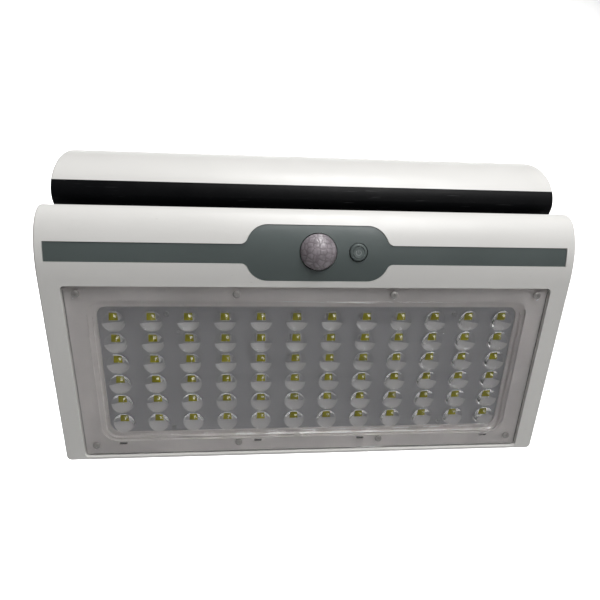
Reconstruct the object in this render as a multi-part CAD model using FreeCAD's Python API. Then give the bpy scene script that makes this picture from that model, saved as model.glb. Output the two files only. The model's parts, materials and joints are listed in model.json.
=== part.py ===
import FreeCAD, Part
import math
import os

# Solar flood light: a lamp leaf and a solar leaf hinged on one wall bracket.
#
# Row frame: origin at the centre of the bracket's wall face, +Y into the wall, +Z up,
# +X to the right of someone facing the wall.  Millimetres and degrees.
#
# Each leaf is modelled lying in its own frame: X across, Y along the leaf from its
# rounded nose to its tail, Z the depth below its flat outer face.

# ---------------------------------------------------------------- driving dimensions
LEAF_WIDTH = 300.0
LEAF_LENGTH = 154.0
SHELL_WALL = 2.8
TAIL_CORNER_RADIUS = 3.0
EDGE_RADIUS = 1.2

LAMP_TILT = 20.0            # lamp face below the vertical
PANEL_RISE = 15.0           # solar leaf above the horizontal
FACE_TO_WALL = 195.0        # wall to the top edge of the lens recess
FACE_HEIGHT = 52.0          # that edge above the bracket's centre
SOLAR_TIP = (-3.6, 32.3)    # solar nose tip in the lamp frame: along, depth
HINGE_AXIS = (30.6, 50.0)   # hinge axis in the lamp frame: along, depth

# lens recess and clear cover
RECESS_TOP = 40.6
RECESS_HEIGHT = 111.1
RECESS_HALF = 138.8
RECESS_DEPTH = 4.2
LEDGE_DEPTH = 7.0
RECESS_RADIUS = 2.5
COVER_GAP = 0.4
COVER_RADIUS = 2.1
COVER_FACE = 1.2
COVER_WALL = 2.0
RIM_FACE = 0.6
RIM_HALF = 127.2
RIM_TOP = 49.5
RIM_BOTTOM = 141.4
RIM_RADIUS = 9.0
RIM_WIDTH = 3.6
POCKET_RADIUS = 6.5
FLOOR_FACE = 3.5
FLOOR_BACK = 5.5
DOME_RADIUS = 6.35
DOME_HEIGHT = 4.5
DOME_ROOT = 1.0             # how far each lens reaches into the tray floor
WINDOW_GAP = 0.4            # between the tray and the window of the shell
GASKET_GAP = 0.8
GASKET_LIP = 4.0            # width of the lip between the tray and the board
SLOT_HALF = (2.5, 0.75)
SLOT_POCKET = 1.5           # depth of the shell's pocket under each locating slot
MOULD_RING_RADII = (1.1, 1.6)
MOULD_RING_RISE = 0.25

# light emitting diodes
COLUMNS = 12
ROWS = 6
COLUMN_PITCH = 20.8
ROW_PITCH = 13.45
FIRST_ROW = 62.5
LED_OFFSET = -1.7           # diodes sit this far above the middle of their lenses
BOARD_FACE = 6.55
BOARD_THICK = 1.6
BOARD_GAP = 0.6             # between the board and the window of the shell
LED_SIZE = (3.8, 3.8, 1.05)  # the diodes touch the back of the cover

# trim panel with its pod
STRIPE_LEFT = -145.2
STRIPE_RIGHT = 144.5
STRIPE_TOP = 17.0
STRIPE_BOTTOM = 27.3
POD_HALF = 39.7
POD_TOP = 6.9
POD_BOTTOM = 37.0
POD_RADIUS = 12.0
POD_NECK_RADIUS = 4.0
POD_REACH = 8.0             # how far the pod's holes are cut to each side of the surface
TRIM_THICK = 1.2
TRIM_SINK = 0.4
TRIM_GAP = 0.15
POD_CENTRE = 20.6
PIR_RADIUS = 10.0
PIR_HEIGHT = 5.0
PIR_PROUD = 0.3
PIR_SKIN = 0.8
PIR_FLANGE = (4.0, 5.0)
PIR_FLANGE_WIDTH = 1.5
PIR_GAP = 0.5
SENSOR_RADIUS = 4.1
SENSOR_BRIM_RADIUS = 4.6
SENSOR_BRIM = 0.6
SENSOR_FACE = 6.8
SENSOR_WINDOW = (2.0, 1.5)
SENSOR_WINDOW_THICK = 0.3
BUTTON_X = 22.3
BUTTON_RADIUS = 5.0
BUTTON_FACE_RADIUS = 4.5
BUTTON_PROUD = 0.5
BUTTON_CHAMFER = 1.1
BUTTON_GROOVE = (3.1, 3.45)
BUTTON_GROOVE_DEPTH = 0.4
BUTTON_FLANGE = (3.6, 4.4)
BUTTON_FLANGE_WIDTH = 1.3
BUTTON_GAP = 0.35
STEM_RADIUS = 1.6
PLUNGER_RADIUS = 1.7
PLUNGER = (6.9, 8.2)
SWITCH_HALF = 3.0
SWITCH_FACE = 7.6
SWITCH_BORE_BACK = 8.8
CONTROL_FACE = 11.0
CONTROL_THICK = 1.2
CONTROL_HALF = (38.0, 8.0)

# solar panel
PANEL_TOP = 46.0
PANEL_BOTTOM = 151.0
PANEL_HALF = 138.8
GLASS_FACE = 0.3
GLASS_THICK = 2.0
CELL_THICK = 0.3
BACKSHEET_THICK = 1.0
ADHESIVE_THICK = 0.6
ADHESIVE_INSET = 2.0
ADHESIVE_WIDTH = 7.0
ADHESIVE_RADIUS = 2.0
PANEL_SHELF = 2.4
CELL_COLUMNS = 12
CELL_GAP = 1.2
CELL_INSET = 1.0            # cells end this far inside the margin
PANEL_MARGIN = 4.0
WELL_SPARE = 0.5
WELL_RADIUS = 2.0
LEAD_HOLE_RADIUS = 5.0
LEAD_SLIT_RADIUS = 1.5

# batteries
CELL_RADIUS = 9.15
CELL_LENGTH = 65.0
CELL_COUNT = 3
CELL_SPACING = 67.5
BATTERY_ALONG = 27.0
BATTERY_DEPTH = 27.0
CELL_NUB_RADIUS = 2.8
CELL_NUB = 1.2
HOLDER_HALF = (104.0, 10.5)
HOLDER_TAB_HALF = (114.0, 5.0)
HOLDER_TAB_FACE = 36.0
HOLDER_BACK = 39.0
TROUGH_HALF = 101.5
CONTACT_THICK = 0.25
CONTACT_HALF = (3.0, 6.0)

# hinge stacks, distances from the middle of the light
EAR_RADIUS = 8.5
LAMP_EAR = (70.0, 76.0)
SOLAR_EAR = (77.0, 83.0)
ARM = (84.0, 87.0)
BOLT_RADIUS = 3.0
BOLT_CLEARANCE = 0.05
HEX_ACROSS_FLATS = 10.0
WASHER_RADIUS = 6.0
WASHER_THICK = 1.2
WASHER_CLEARANCE = 0.2
FIBRE_EXTRA = 1.5           # the fibre washers' radius beyond the steel ones'
HEAD_THICK = 4.0
NUT_THICK = 6.0
BOLT_END = 9.0              # length of bolt past the lamp ears' inner faces

# wall bracket
STEEL = 3.0
PLATE_HALF_HEIGHT = 30.0
BEND_RADIUS = 3.0
ARM_END_RADIUS = 9.0
ARM_CORNER = (3.6, 8.25)    # where the arm's straight edges meet its round end
WALL_HOLE_RADIUS = 2.75
WALL_HOLE_SPACING = (120.0, 36.0)

# self-tapping screws
SCREW_RADIUS = 1.4
SCREW_HEAD_RADIUS = 2.8
SCREW_HEAD = 2.0
SCREW_LENGTH = 10.0
SCREW_SEAT = 4.0            # the heads seat this far behind the parting plane
SCREW_SPARE = 0.4           # extra depth of a blind screw hole
SCREW_GAP = 0.3
HEAD_GAP = 0.4
CROSS_HALF = (1.6, 0.35)
CROSS_DEPTH = 0.9
BOSS_RADIUS = 4.5
ROOT = 1.5                  # how far a boss or a post reaches into the wall it stands on

# small screws that hold the boards, the battery holder and the clear cover
SMALL_RADIUS = 1.0
SMALL_HOLE = 1.3
SMALL_CROSS = 0.25
SMALL_LENGTH = 6.5
FACE_HEAD_RADIUS = 2.0
FACE_HEAD = 1.4
BOARD_HEAD_RADIUS = 1.5
BOARD_HEAD = 0.8
POST_RADIUS = 3.0
POST_BORE = 5.4
POD_POST_RADIUS = 2.6
POD_POST_ROOT = 2.0
POD_SCREW_LENGTH = 6.0
POD_HEAD_RADIUS = 2.0
POD_HEAD = 1.4
LENS_HEAD_RADIUS = 2.2
LENS_HEAD = 1.3
LENS_SEAT = 0.9             # counterbore depth below the cover's flange
LENS_BORE_RADIUS = 2.5
BLIND_FLOOR = 0.6           # shell left under the cover's screws

# rubber cord between the shells of a leaf
SEAL_INSET = 0.9
SEAL_WIDTH = 1.0
SEAL_DEPTH = 1.2

# grommets and breather plugs on the backs of the leaves
GLAND_RADIUS = 4.0
GLAND_BORE = 2.2
GLAND_BRIM_RADIUS = 6.2
GLAND_BRIM = 1.6
GLAND_NECK = 6.5
GLAND_WEB = 1.5
PAD_RADIUS = 7.5
PAD_RISE = 2.0
PAD_ROOT = 3.0
VENT_X = 40.0
VENT_RADIUS = 3.0
VENT_BRIM_RADIUS = 4.2
VENT_BRIM = (1.0, 2.4)
VENT_STEM = 4.0


def vec(x, y, z):
    return FreeCAD.Vector(x, y, z)


def frame_matrix(origin, x_axis, y_axis, z_axis):
    """Matrix that carries a frame's own coordinates into its parent's."""
    return FreeCAD.Matrix(
        x_axis[0], y_axis[0], z_axis[0], origin[0],
        x_axis[1], y_axis[1], z_axis[1], origin[1],
        x_axis[2], y_axis[2], z_axis[2], origin[2],
        0, 0, 0, 1)


def moved(shape, matrix):
    return shape.transformed(matrix, True)


class Leaf:
    """Bull-nosed wedge: half-elliptical nose, flat outer face, sloping back."""

    def __init__(self, nose, front_half, back_half, tail, split_nose, split_tail, matrix):
        self.nose = nose
        self.front_half = front_half
        self.back_half = back_half
        self.tail = tail
        self.split_nose = split_nose
        self.split_tail = split_tail
        self.matrix = matrix

    def thickness(self):
        return self.front_half + self.back_half

    def front_depth(self, along):
        """Depth of the outer surface below the flat face."""
        if along >= self.nose:
            return 0.0
        reach = (self.nose - along) / self.nose
        return self.front_half * (1 - math.sqrt(1 - reach * reach))

    def back_depth(self, along):
        if along >= self.nose:
            share = (along - self.nose) / (LEAF_LENGTH - self.nose)
            return self.thickness() + (self.tail - self.thickness()) * share
        reach = (self.nose - along) / self.nose
        return self.front_half + self.back_half * math.sqrt(1 - reach * reach)

    def split_depth(self, along):
        return self.split_nose + (self.split_tail - self.split_nose) * along / LEAF_LENGTH

    def place(self, shape):
        return moved(shape, self.matrix)


def lamp_matrix():
    tilt = math.radians(LAMP_TILT)
    along = (0, math.sin(tilt), -math.cos(tilt))
    depth = (0, math.cos(tilt), math.sin(tilt))
    origin = (0,
              -FACE_TO_WALL - RECESS_TOP * along[1],
              FACE_HEIGHT - RECESS_TOP * along[2])
    return frame_matrix(origin, (1, 0, 0), along, depth)


def solar_matrix(lamp_frame, front_half):
    """The solar leaf faces up, so its frame is turned about the vertical."""
    rise = math.radians(PANEL_RISE)
    along = (0, math.cos(rise), math.sin(rise))
    depth = (0, math.sin(rise), -math.cos(rise))
    tip = lamp_frame.multiply(vec(0, SOLAR_TIP[0], SOLAR_TIP[1]))
    origin = (0, tip.y - front_half * depth[1], tip.z - front_half * depth[2])
    return frame_matrix(origin, (-1, 0, 0), along, depth)


LAMP_FRAME = lamp_matrix()
SOLAR_FRONT_HALF = 25.9
LAMP = Leaf(36.0, 17.3, 19.0, 20.0, 18.0, 11.0, LAMP_FRAME)
SOLAR = Leaf(43.5, SOLAR_FRONT_HALF, 20.4, 22.0, 18.0, 12.0,
             solar_matrix(LAMP_FRAME, SOLAR_FRONT_HALF))
AXIS_POINT = LAMP_FRAME.multiply(vec(0, HINGE_AXIS[0], HINGE_AXIS[1]))
AXIS_IN_SOLAR = SOLAR.matrix.inverse().multiply(AXIS_POINT)


# ---------------------------------------------------------------- building blocks
def block(x0, x1, y0, y1, z0, z1):
    return Part.makeBox(x1 - x0, y1 - y0, z1 - z0, vec(x0, y0, z0))


def rounded_block(half, y0, y1, z0, z1, radius):
    """Plate centred on X whose four corners are rounded in plan."""
    plate = block(-half, half, y0, y1, z0, z1)
    corners = [e for e in plate.Edges if abs(e.tangentAt(e.FirstParameter).z) > 0.99]
    return plate.makeFillet(radius, corners)


def rod(radius, start, end):
    """Round bar between two points."""
    line = end.sub(start)
    return Part.makeCylinder(radius, line.Length, start, line)


def depth_rod(x, along, radius, depth0, depth1):
    return Part.makeCylinder(radius, depth1 - depth0, vec(x, along, depth0), vec(0, 0, 1))


def hexagon(x0, x1, point):
    """Hexagonal prism along X, centred on a point of the hinge axis."""
    corner = HEX_ACROSS_FLATS / 2 / math.cos(math.pi / 6)
    points = []
    for index in range(7):
        angle = math.radians(60 * index)
        points.append(vec(x0, point.y + corner * math.cos(angle), point.z + corner * math.sin(angle)))
    return Part.Face(Part.makePolygon(points)).extrude(vec(x1 - x0, 0, 0))


def prism(points, x0, x1):
    """Polygon of (y, z) points extruded along X."""
    corners = [vec(x0, y, z) for y, z in points + points[:1]]
    return Part.Face(Part.makePolygon(corners)).extrude(vec(x1 - x0, 0, 0))


def join(shapes):
    return shapes[0].multiFuse(shapes[1:])


def quarter_ellipse(centre, tip, side):
    """Quarter of an ellipse from its long end to its short side."""
    ellipse = Part.Ellipse(tip, side, centre)
    return Part.ArcOfEllipse(ellipse, 0, math.pi / 2).toShape()


def leaf_solid(leaf, inset):
    """The leaf's outer body, shrunk all round by inset."""
    half = LEAF_WIDTH / 2 - inset
    centre = vec(-half, leaf.nose, leaf.front_half)
    tip = vec(-half, inset, leaf.front_half)
    front = vec(-half, leaf.nose, inset)
    back = vec(-half, leaf.nose, leaf.thickness() - inset)
    tail_front = vec(-half, LEAF_LENGTH - inset, inset)
    tail_back = vec(-half, LEAF_LENGTH - inset, leaf.tail - inset)
    edges = [quarter_ellipse(centre, tip, front),
             Part.makeLine(front, tail_front),
             Part.makeLine(tail_front, tail_back),
             Part.makeLine(tail_back, back),
             quarter_ellipse(centre, tip, back)]
    face = Part.Face(Part.Wire(Part.__sortEdges__(edges)))
    return face.extrude(vec(2 * half, 0, 0))


def rounded_leaf(leaf):
    """Outer body with its tail corners and its end edges rounded."""
    body = leaf_solid(leaf, 0)
    tail_corners = []
    for edge in body.Edges:
        middle = edge.CenterOfMass
        if abs(middle.y - LEAF_LENGTH) < 0.01 and abs(abs(middle.x) - LEAF_WIDTH / 2) < 0.01:
            tail_corners.append(edge)
    body = body.makeFillet(TAIL_CORNER_RADIUS, tail_corners)
    end_edges = []
    for edge in body.Edges:
        box = edge.BoundBox
        on_side = box.XLength < 0.01 and abs(abs(box.Center.x) - LEAF_WIDTH / 2) < 0.01
        if on_side and box.Center.y < LEAF_LENGTH - TAIL_CORNER_RADIUS:
            end_edges.append(edge)
    return body.makeFillet(EDGE_RADIUS, end_edges)


def split_slab(leaf, above, below):
    """Everything from above to below the leaf's sloping parting plane."""
    reach = 20.0
    y0 = -reach
    y1 = LEAF_LENGTH + reach
    z0 = leaf.split_depth(y0)
    z1 = leaf.split_depth(y1)
    points = [(y0, z0 + above), (y1, z1 + above), (y1, z1 + below), (y0, z0 + below)]
    return prism(points, -LEAF_WIDTH, LEAF_WIDTH)


def seal_ring(leaf):
    """Rubber cord in the rear shell's rim, flush with the parting plane."""
    cord = leaf_solid(leaf, SEAL_INSET).cut(leaf_solid(leaf, SEAL_INSET + SEAL_WIDTH))
    return cord.common(split_slab(leaf, 0, SEAL_DEPTH))


def ear(leaf, axis, base, x_range):
    """Hinge ear: a plate that rises from the back and rounds over the hinge axis."""
    lug = prism([base[0], base[1],
                 (axis[0] + EAR_RADIUS, axis[1]), (axis[0] - EAR_RADIUS, axis[1])],
                x_range[0], x_range[1])
    end = rod(EAR_RADIUS, vec(x_range[0], axis[0], axis[1]), vec(x_range[1], axis[0], axis[1]))
    hole = rod(BOLT_RADIUS + BOLT_CLEARANCE,
               vec(x_range[0] - 1, axis[0], axis[1]), vec(x_range[1] + 1, axis[0], axis[1]))
    return lug.fuse(end).cut(hole)


def ears(leaf, axis, base, span):
    pair = []
    for x_range in ((span[0], span[1]), (-span[1], -span[0])):
        pair.append(ear(leaf, axis, base, x_range))
    return pair


# ---------------------------------------------------------------- shell screw stations
LAMP_STATIONS = [(-143.0, 60.0), (143.0, 60.0), (-143.0, 138.0), (143.0, 138.0),
                 (-112.0, 30.0), (112.0, 30.0), (-56.0, 31.0), (56.0, 31.0)]
SOLAR_STATIONS = [(-143.0, 62.0), (143.0, 62.0), (-143.0, 138.0), (143.0, 138.0),
                  (-120.0, 24.0), (120.0, 24.0)]


def front_boss(leaf, x, along):
    split = leaf.split_depth(along)
    post = depth_rod(x, along, BOSS_RADIUS, leaf.front_depth(along) + ROOT, split)
    tip = split + SCREW_SEAT - SCREW_LENGTH - SCREW_SPARE
    return post.cut(depth_rod(x, along, SCREW_RADIUS, tip, split + 1))


def rear_boss(leaf, x, along):
    return depth_rod(x, along, BOSS_RADIUS, leaf.split_depth(along), leaf.back_depth(along) - ROOT)


def rear_passage(leaf, x, along):
    """Clearance hole and the deep counterbore that the screw head sits in."""
    split = leaf.split_depth(along)
    seat = split + SCREW_SEAT
    hole = depth_rod(x, along, SCREW_RADIUS + SCREW_GAP, split - 1, seat + 1)
    bore = depth_rod(x, along, SCREW_HEAD_RADIUS + HEAD_GAP, seat, leaf.back_depth(along) + 4)
    return hole.fuse(bore)


def cross_cut(x, along, half_length, half_width, depth0, depth1):
    """Cross-shaped driver recess of a screw head."""
    bar = block(x - half_length, x + half_length, along - half_width, along + half_width, depth0, depth1)
    return bar.fuse(block(x - half_width, x + half_width,
                          along - half_length, along + half_length, depth0, depth1))


def pan_screw(x, along, seat, length, radius, head_radius, head):
    """Screw driven from the back: head below the seat, shank towards the face."""
    shank = depth_rod(x, along, radius, seat - length, seat + 0.5)
    cap = depth_rod(x, along, head_radius, seat, seat + head)
    top = seat + head
    return cap.fuse(shank).cut(cross_cut(x, along, *CROSS_HALF, top - CROSS_DEPTH, top + 1))


def shell_screws(leaf, stations):
    screws = []
    for x, along in stations:
        seat = leaf.split_depth(along) + SCREW_SEAT
        screws.append(pan_screw(x, along, seat, SCREW_LENGTH, SCREW_RADIUS,
                                SCREW_HEAD_RADIUS, SCREW_HEAD))
    return Part.makeCompound(screws)


# ---------------------------------------------------------------- pod frame
def pod_matrix():
    """Frame on the nose surface under the pod: X across, Y along, Z inward."""
    step = 0.01
    drop = LAMP.front_depth(POD_CENTRE + step) - LAMP.front_depth(POD_CENTRE - step)
    angle = math.atan2(-drop, 2 * step)
    along = (0, math.cos(angle), -math.sin(angle))
    inward = (0, math.sin(angle), math.cos(angle))
    return frame_matrix((0, POD_CENTRE, LAMP.front_depth(POD_CENTRE)), (1, 0, 0), along, inward)


POD_FRAME = pod_matrix()


def pod(shape):
    return moved(shape, POD_FRAME)


def pod_holes():
    """Openings for the sensor lens and the button, through trim and shell."""
    lens = depth_rod(0, 0, PIR_RADIUS + PIR_GAP, -POD_REACH, POD_REACH)
    button = depth_rod(BUTTON_X, 0, BUTTON_RADIUS + BUTTON_GAP, -POD_REACH, POD_REACH)
    return pod(lens.fuse(button))


# ---------------------------------------------------------------- lamp leaf
def trim_outline(grow):
    """Stripe and pod in plan, as a prism taller than the nose is deep."""
    low = -5.0
    high = 17.0
    stripe = block(STRIPE_LEFT - grow, STRIPE_RIGHT + grow,
                   STRIPE_TOP - grow, STRIPE_BOTTOM + grow, low, high)
    panel = rounded_block(POD_HALF + grow, POD_TOP - grow, POD_BOTTOM + grow, low, high, POD_RADIUS)
    shape = stripe.fuse(panel).removeSplitter()
    inner = []
    for edge in shape.Edges:
        upright = abs(edge.tangentAt(edge.FirstParameter).z) > 0.99
        middle = edge.CenterOfMass
        on_stripe = min(abs(middle.y - STRIPE_TOP + grow), abs(middle.y - STRIPE_BOTTOM - grow)) < 0.01
        if upright and on_stripe and abs(middle.x) < POD_HALF + POD_NECK_RADIUS:
            inner.append(edge)
    return shape.makeFillet(POD_NECK_RADIUS, inner)


def trim_panel():
    skin = leaf_solid(LAMP, TRIM_SINK).cut(leaf_solid(LAMP, TRIM_SINK + TRIM_THICK))
    return skin.common(trim_outline(0)).cut(pod_holes())


LENS_SCREW_ROWS = (45.4, 144.4)
LENS_SCREW_COLUMNS = (-131.8, -45.0, 45.0, 131.8)
LOCATING_SLOTS = [(-115.7, 143.6), (-32.9, 143.6), (32.9, 143.6), (115.7, 143.6)]
BOARD_SCREWS = [(-84.9, 58.9), (84.9, 58.9), (-84.9, 134.8), (84.9, 134.8)]
MOULD_RINGS = [(-78.5, 69.0), (78.5, 69.0)]
POD_SCREWS = [(-34.0, 0.0), (34.0, 0.0)]


def lens_screw_places():
    places = []
    for along in LENS_SCREW_ROWS:
        for x in LENS_SCREW_COLUMNS:
            places.append((x, along))
    return places


def window_block(grow, depth0, depth1, radius=RIM_RADIUS):
    """Rounded plate with the outline of the cover's tray, grown all round."""
    return rounded_block(RIM_HALF + grow, RIM_TOP - grow, RIM_BOTTOM + grow, depth0, depth1, radius)


def slot_cutters(depth0, depth1):
    half_length, half_width = SLOT_HALF
    cutters = []
    for x, along in LOCATING_SLOTS:
        cutters.append(block(x - half_length, x + half_length,
                             along - half_width, along + half_width, depth0, depth1))
    return cutters


def lamp_front_shell():
    outer = rounded_leaf(LAMP)
    cavity = leaf_solid(LAMP, SHELL_WALL)
    ledge = block(-RECESS_HALF - SHELL_WALL, RECESS_HALF + SHELL_WALL,
                  RECESS_TOP - SHELL_WALL, RECESS_TOP + RECESS_HEIGHT, 1, LEDGE_DEPTH)
    shell = outer.cut(cavity).common(split_slab(LAMP, -60, 0))
    bosses = [front_boss(LAMP, x, along) for x, along in LAMP_STATIONS]
    for x, offset in POD_SCREWS:
        bosses.append(pod(depth_rod(x, offset, POD_POST_RADIUS, POD_POST_ROOT, CONTROL_FACE)))
    shell = join([shell, ledge] + bosses)
    recess = rounded_block(RECESS_HALF, RECESS_TOP, RECESS_TOP + RECESS_HEIGHT,
                           -1, RECESS_DEPTH, RECESS_RADIUS)
    opening = window_block(WINDOW_GAP, -1, LEDGE_DEPTH + 1)
    groove = trim_outline(TRIM_GAP).cut(leaf_solid(LAMP, TRIM_SINK + TRIM_THICK))
    cutters = [recess, opening, groove, pod_holes()]
    cutters += slot_cutters(0, RECESS_DEPTH + SLOT_POCKET)
    for x, along in lens_screw_places():
        cutters.append(depth_rod(x, along, SMALL_RADIUS, 0, LEDGE_DEPTH - BLIND_FLOOR))
    for x, offset in POD_SCREWS:
        bore_end = CONTROL_FACE + CONTROL_THICK - POD_SCREW_LENGTH - SCREW_SPARE
        cutters.append(pod(depth_rod(x, offset, SMALL_RADIUS, bore_end, CONTROL_FACE + 1)))
    for cutter in cutters:
        shell = shell.cut(cutter)
    return shell


def gland_pad(leaf, along, radius):
    back = leaf.back_depth(along)
    return depth_rod(0, along, radius, back - PAD_ROOT, back + PAD_RISE)


def rear_shell(leaf, stations, posts, ear_shapes, gland_along, vent_along):
    """Black back shell: ears, screw bosses, board posts, gland pad and vent pad."""
    cavity = leaf_solid(leaf, SHELL_WALL)
    body = join([rounded_leaf(leaf)] + ear_shapes + [gland_pad(leaf, gland_along, PAD_RADIUS)])
    body = body.cut(cavity).common(split_slab(leaf, 0, 80))
    inner = [rear_boss(leaf, x, along) for x, along in stations]
    for x, along, radius, top in posts:
        inner.append(depth_rod(x, along, radius, top, leaf.back_depth(along) - ROOT))
    body = join([body] + inner)
    body = body.cut(seal_ring(leaf))
    for x, along in stations:
        body = body.cut(rear_passage(leaf, x, along))
    for x, along, radius, top in posts:
        body = body.cut(depth_rod(x, along, SMALL_RADIUS, top - 1, top + POST_BORE))
    for x, along, radius in ((0, gland_along, GLAND_RADIUS), (VENT_X, vent_along, VENT_RADIUS)):
        back = leaf.back_depth(along)
        body = body.cut(depth_rod(x, along, radius, back - 2 * SHELL_WALL, back + 2 * SHELL_WALL))
    return body


LAMP_GLAND = 66.0
LAMP_VENT = 96.0
SOLAR_GLAND = 72.0
SOLAR_VENT = 110.0
CHARGE_POSTS = [(-30.0, 90.0), (30.0, 90.0), (-30.0, 122.0), (30.0, 122.0)]
CHARGE_FACE = 14.0
CHARGE_THICK = 1.6
CHARGE_HALF_WIDE = 36.0
CHARGE_SPAN = (85.0, 127.0)
HOLDER_POST_RADIUS = 3.5
HOLDER_SCREWS = [(-108.0, 27.0), (108.0, 27.0)]


def lamp_rear_shell():
    posts = [(x, along, POST_RADIUS, BOARD_FACE + BOARD_THICK) for x, along in BOARD_SCREWS]
    lugs = ears(LAMP, HINGE_AXIS, ((15.0, 27.0), (47.0, 33.0)), LAMP_EAR)
    return rear_shell(LAMP, LAMP_STATIONS, posts, lugs, LAMP_GLAND, LAMP_VENT)


def dome(x, along):
    """Plano-convex lens as a spherical cap rooted in the cover's floor."""
    radius = (DOME_RADIUS ** 2 + DOME_HEIGHT ** 2) / (2 * DOME_HEIGHT)
    centre = FLOOR_FACE - DOME_HEIGHT + radius
    root = math.degrees(math.asin((centre - FLOOR_FACE - DOME_ROOT) / radius))
    return Part.makeSphere(radius, vec(x, along, centre), vec(0, 0, -1), root, 90, 360)


def mould_ring(x, along):
    """Raised witness ring that an ejector pin leaves on the tray floor."""
    inner, outer = MOULD_RING_RADII
    disc = depth_rod(x, along, outer, FLOOR_FACE - MOULD_RING_RISE, FLOOR_FACE + 0.5)
    return disc.cut(depth_rod(x, along, inner, FLOOR_FACE - 1, FLOOR_FACE + 1))


def led_places():
    places = []
    for row in range(ROWS):
        for column in range(COLUMNS):
            x = (column - (COLUMNS - 1) / 2) * COLUMN_PITCH
            places.append((x, FIRST_ROW + row * ROW_PITCH))
    return places


def lens_cover():
    flange = rounded_block(RECESS_HALF - COVER_GAP, RECESS_TOP + COVER_GAP,
                           RECESS_TOP + RECESS_HEIGHT - COVER_GAP,
                           COVER_FACE, COVER_FACE + COVER_WALL, COVER_RADIUS)
    tray = window_block(0, RIM_FACE, FLOOR_BACK)
    pocket = window_block(-RIM_WIDTH, -2, FLOOR_FACE, POCKET_RADIUS)
    cover = flange.fuse(tray).cut(pocket)
    domes = [dome(x, along) for x, along in led_places()]
    rings = [mould_ring(x, along) for x, along in MOULD_RINGS]
    cover = cover.multiFuse(domes + rings)
    for x, along in lens_screw_places():
        cover = cover.cut(depth_rod(x, along, SMALL_HOLE, 0, FLOOR_BACK))
        cover = cover.cut(depth_rod(x, along, LENS_BORE_RADIUS, 0, COVER_FACE + LENS_SEAT))
    for cutter in slot_cutters(0, FLOOR_BACK):
        cover = cover.cut(cutter)
    return cover


def lens_gasket():
    """Silicone frame under the flange, with a sleeve round the tray and a lip on the board."""
    under_flange = COVER_FACE + COVER_WALL
    frame = rounded_block(RECESS_HALF - GASKET_GAP, RECESS_TOP + GASKET_GAP,
                          RECESS_TOP + RECESS_HEIGHT - GASKET_GAP,
                          under_flange, RECESS_DEPTH, RECESS_RADIUS - GASKET_GAP)
    sleeve = window_block(WINDOW_GAP, under_flange, BOARD_FACE)
    gasket = frame.fuse(sleeve).removeSplitter()
    gasket = gasket.cut(window_block(0, 0, FLOOR_BACK))
    gasket = gasket.cut(window_block(-GASKET_LIP, 0, BOARD_FACE + 1, POCKET_RADIUS))
    for x, along in lens_screw_places():
        gasket = gasket.cut(depth_rod(x, along, SMALL_HOLE, 0, BOARD_FACE))
    for cutter in slot_cutters(0, RECESS_DEPTH + SLOT_POCKET):
        gasket = gasket.cut(cutter)
    return gasket


def lens_screws():
    """Small cross-head screws through the flange, driven from the face."""
    screws = []
    seat = COVER_FACE + LENS_SEAT
    for x, along in lens_screw_places():
        head = depth_rod(x, along, LENS_HEAD_RADIUS, seat - LENS_HEAD, seat)
        shank = depth_rod(x, along, SMALL_RADIUS, seat - LENS_HEAD / 2, LEDGE_DEPTH - BLIND_FLOOR)
        cross = cross_cut(x, along, LENS_HEAD_RADIUS - SMALL_RADIUS, SMALL_CROSS,
                          seat - 2, seat - LENS_HEAD / 2)
        screws.append(head.fuse(shank).cut(cross))
    return Part.makeCompound(screws)


def led_board():
    board = window_block(WINDOW_GAP - BOARD_GAP, BOARD_FACE, BOARD_FACE + BOARD_THICK)
    for x, along in BOARD_SCREWS:
        board = board.cut(depth_rod(x, along, SMALL_HOLE, 0, 20))
    return board


def led_packages():
    wide, high, deep = LED_SIZE
    packages = []
    for x, lens_along in led_places():
        along = lens_along + LED_OFFSET
        packages.append(block(x - wide / 2, x + wide / 2, along - high / 2, along + high / 2,
                              BOARD_FACE - deep, BOARD_FACE))
    return Part.makeCompound(packages)


def face_screws(places, seat, head_radius, head_height):
    """Board screws driven from the face into posts behind the board."""
    screws = []
    for x, along in places:
        head = depth_rod(x, along, head_radius, seat - head_height, seat)
        shank = depth_rod(x, along, SMALL_RADIUS, seat - head_height / 3, seat + SMALL_LENGTH)
        cross = cross_cut(x, along, head_radius / 2, SMALL_CROSS, seat - 2, seat - head_height / 2)
        screws.append(head.fuse(shank).cut(cross))
    return Part.makeCompound(screws)


def pir_lens():
    """Translucent domed window with a flange behind the shell wall."""
    radius = (PIR_RADIUS ** 2 + PIR_HEIGHT ** 2) / (2 * PIR_HEIGHT)
    top = -PIR_HEIGHT - PIR_PROUD
    centre = vec(0, 0, top + radius)
    front, back = PIR_FLANGE
    body = depth_rod(0, 0, PIR_RADIUS, top, back).common(Part.makeSphere(radius, centre))
    flange = depth_rod(0, 0, PIR_RADIUS + PIR_FLANGE_WIDTH, front, back)
    hollow = depth_rod(0, 0, PIR_RADIUS - PIR_SKIN, top + PIR_SKIN, back + 0.5)
    hollow = hollow.common(Part.makeSphere(radius - PIR_SKIN, centre))
    return pod(body.fuse(flange).cut(hollow))


def sensor_opening(depth0, depth1):
    half_wide, half_high = SENSOR_WINDOW
    return block(-half_wide, half_wide, -half_high, half_high, depth0, depth1)


def pir_sensor():
    """Metal can of the motion sensor, with an opening for its window."""
    can = depth_rod(0, 0, SENSOR_RADIUS, SENSOR_FACE, CONTROL_FACE)
    brim = depth_rod(0, 0, SENSOR_BRIM_RADIUS, CONTROL_FACE - SENSOR_BRIM, CONTROL_FACE)
    opening = sensor_opening(SENSOR_FACE - 1, SENSOR_FACE + SENSOR_WINDOW_THICK)
    return pod(can.fuse(brim).cut(opening))


def pir_window():
    return pod(sensor_opening(SENSOR_FACE, SENSOR_FACE + SENSOR_WINDOW_THICK))


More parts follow.
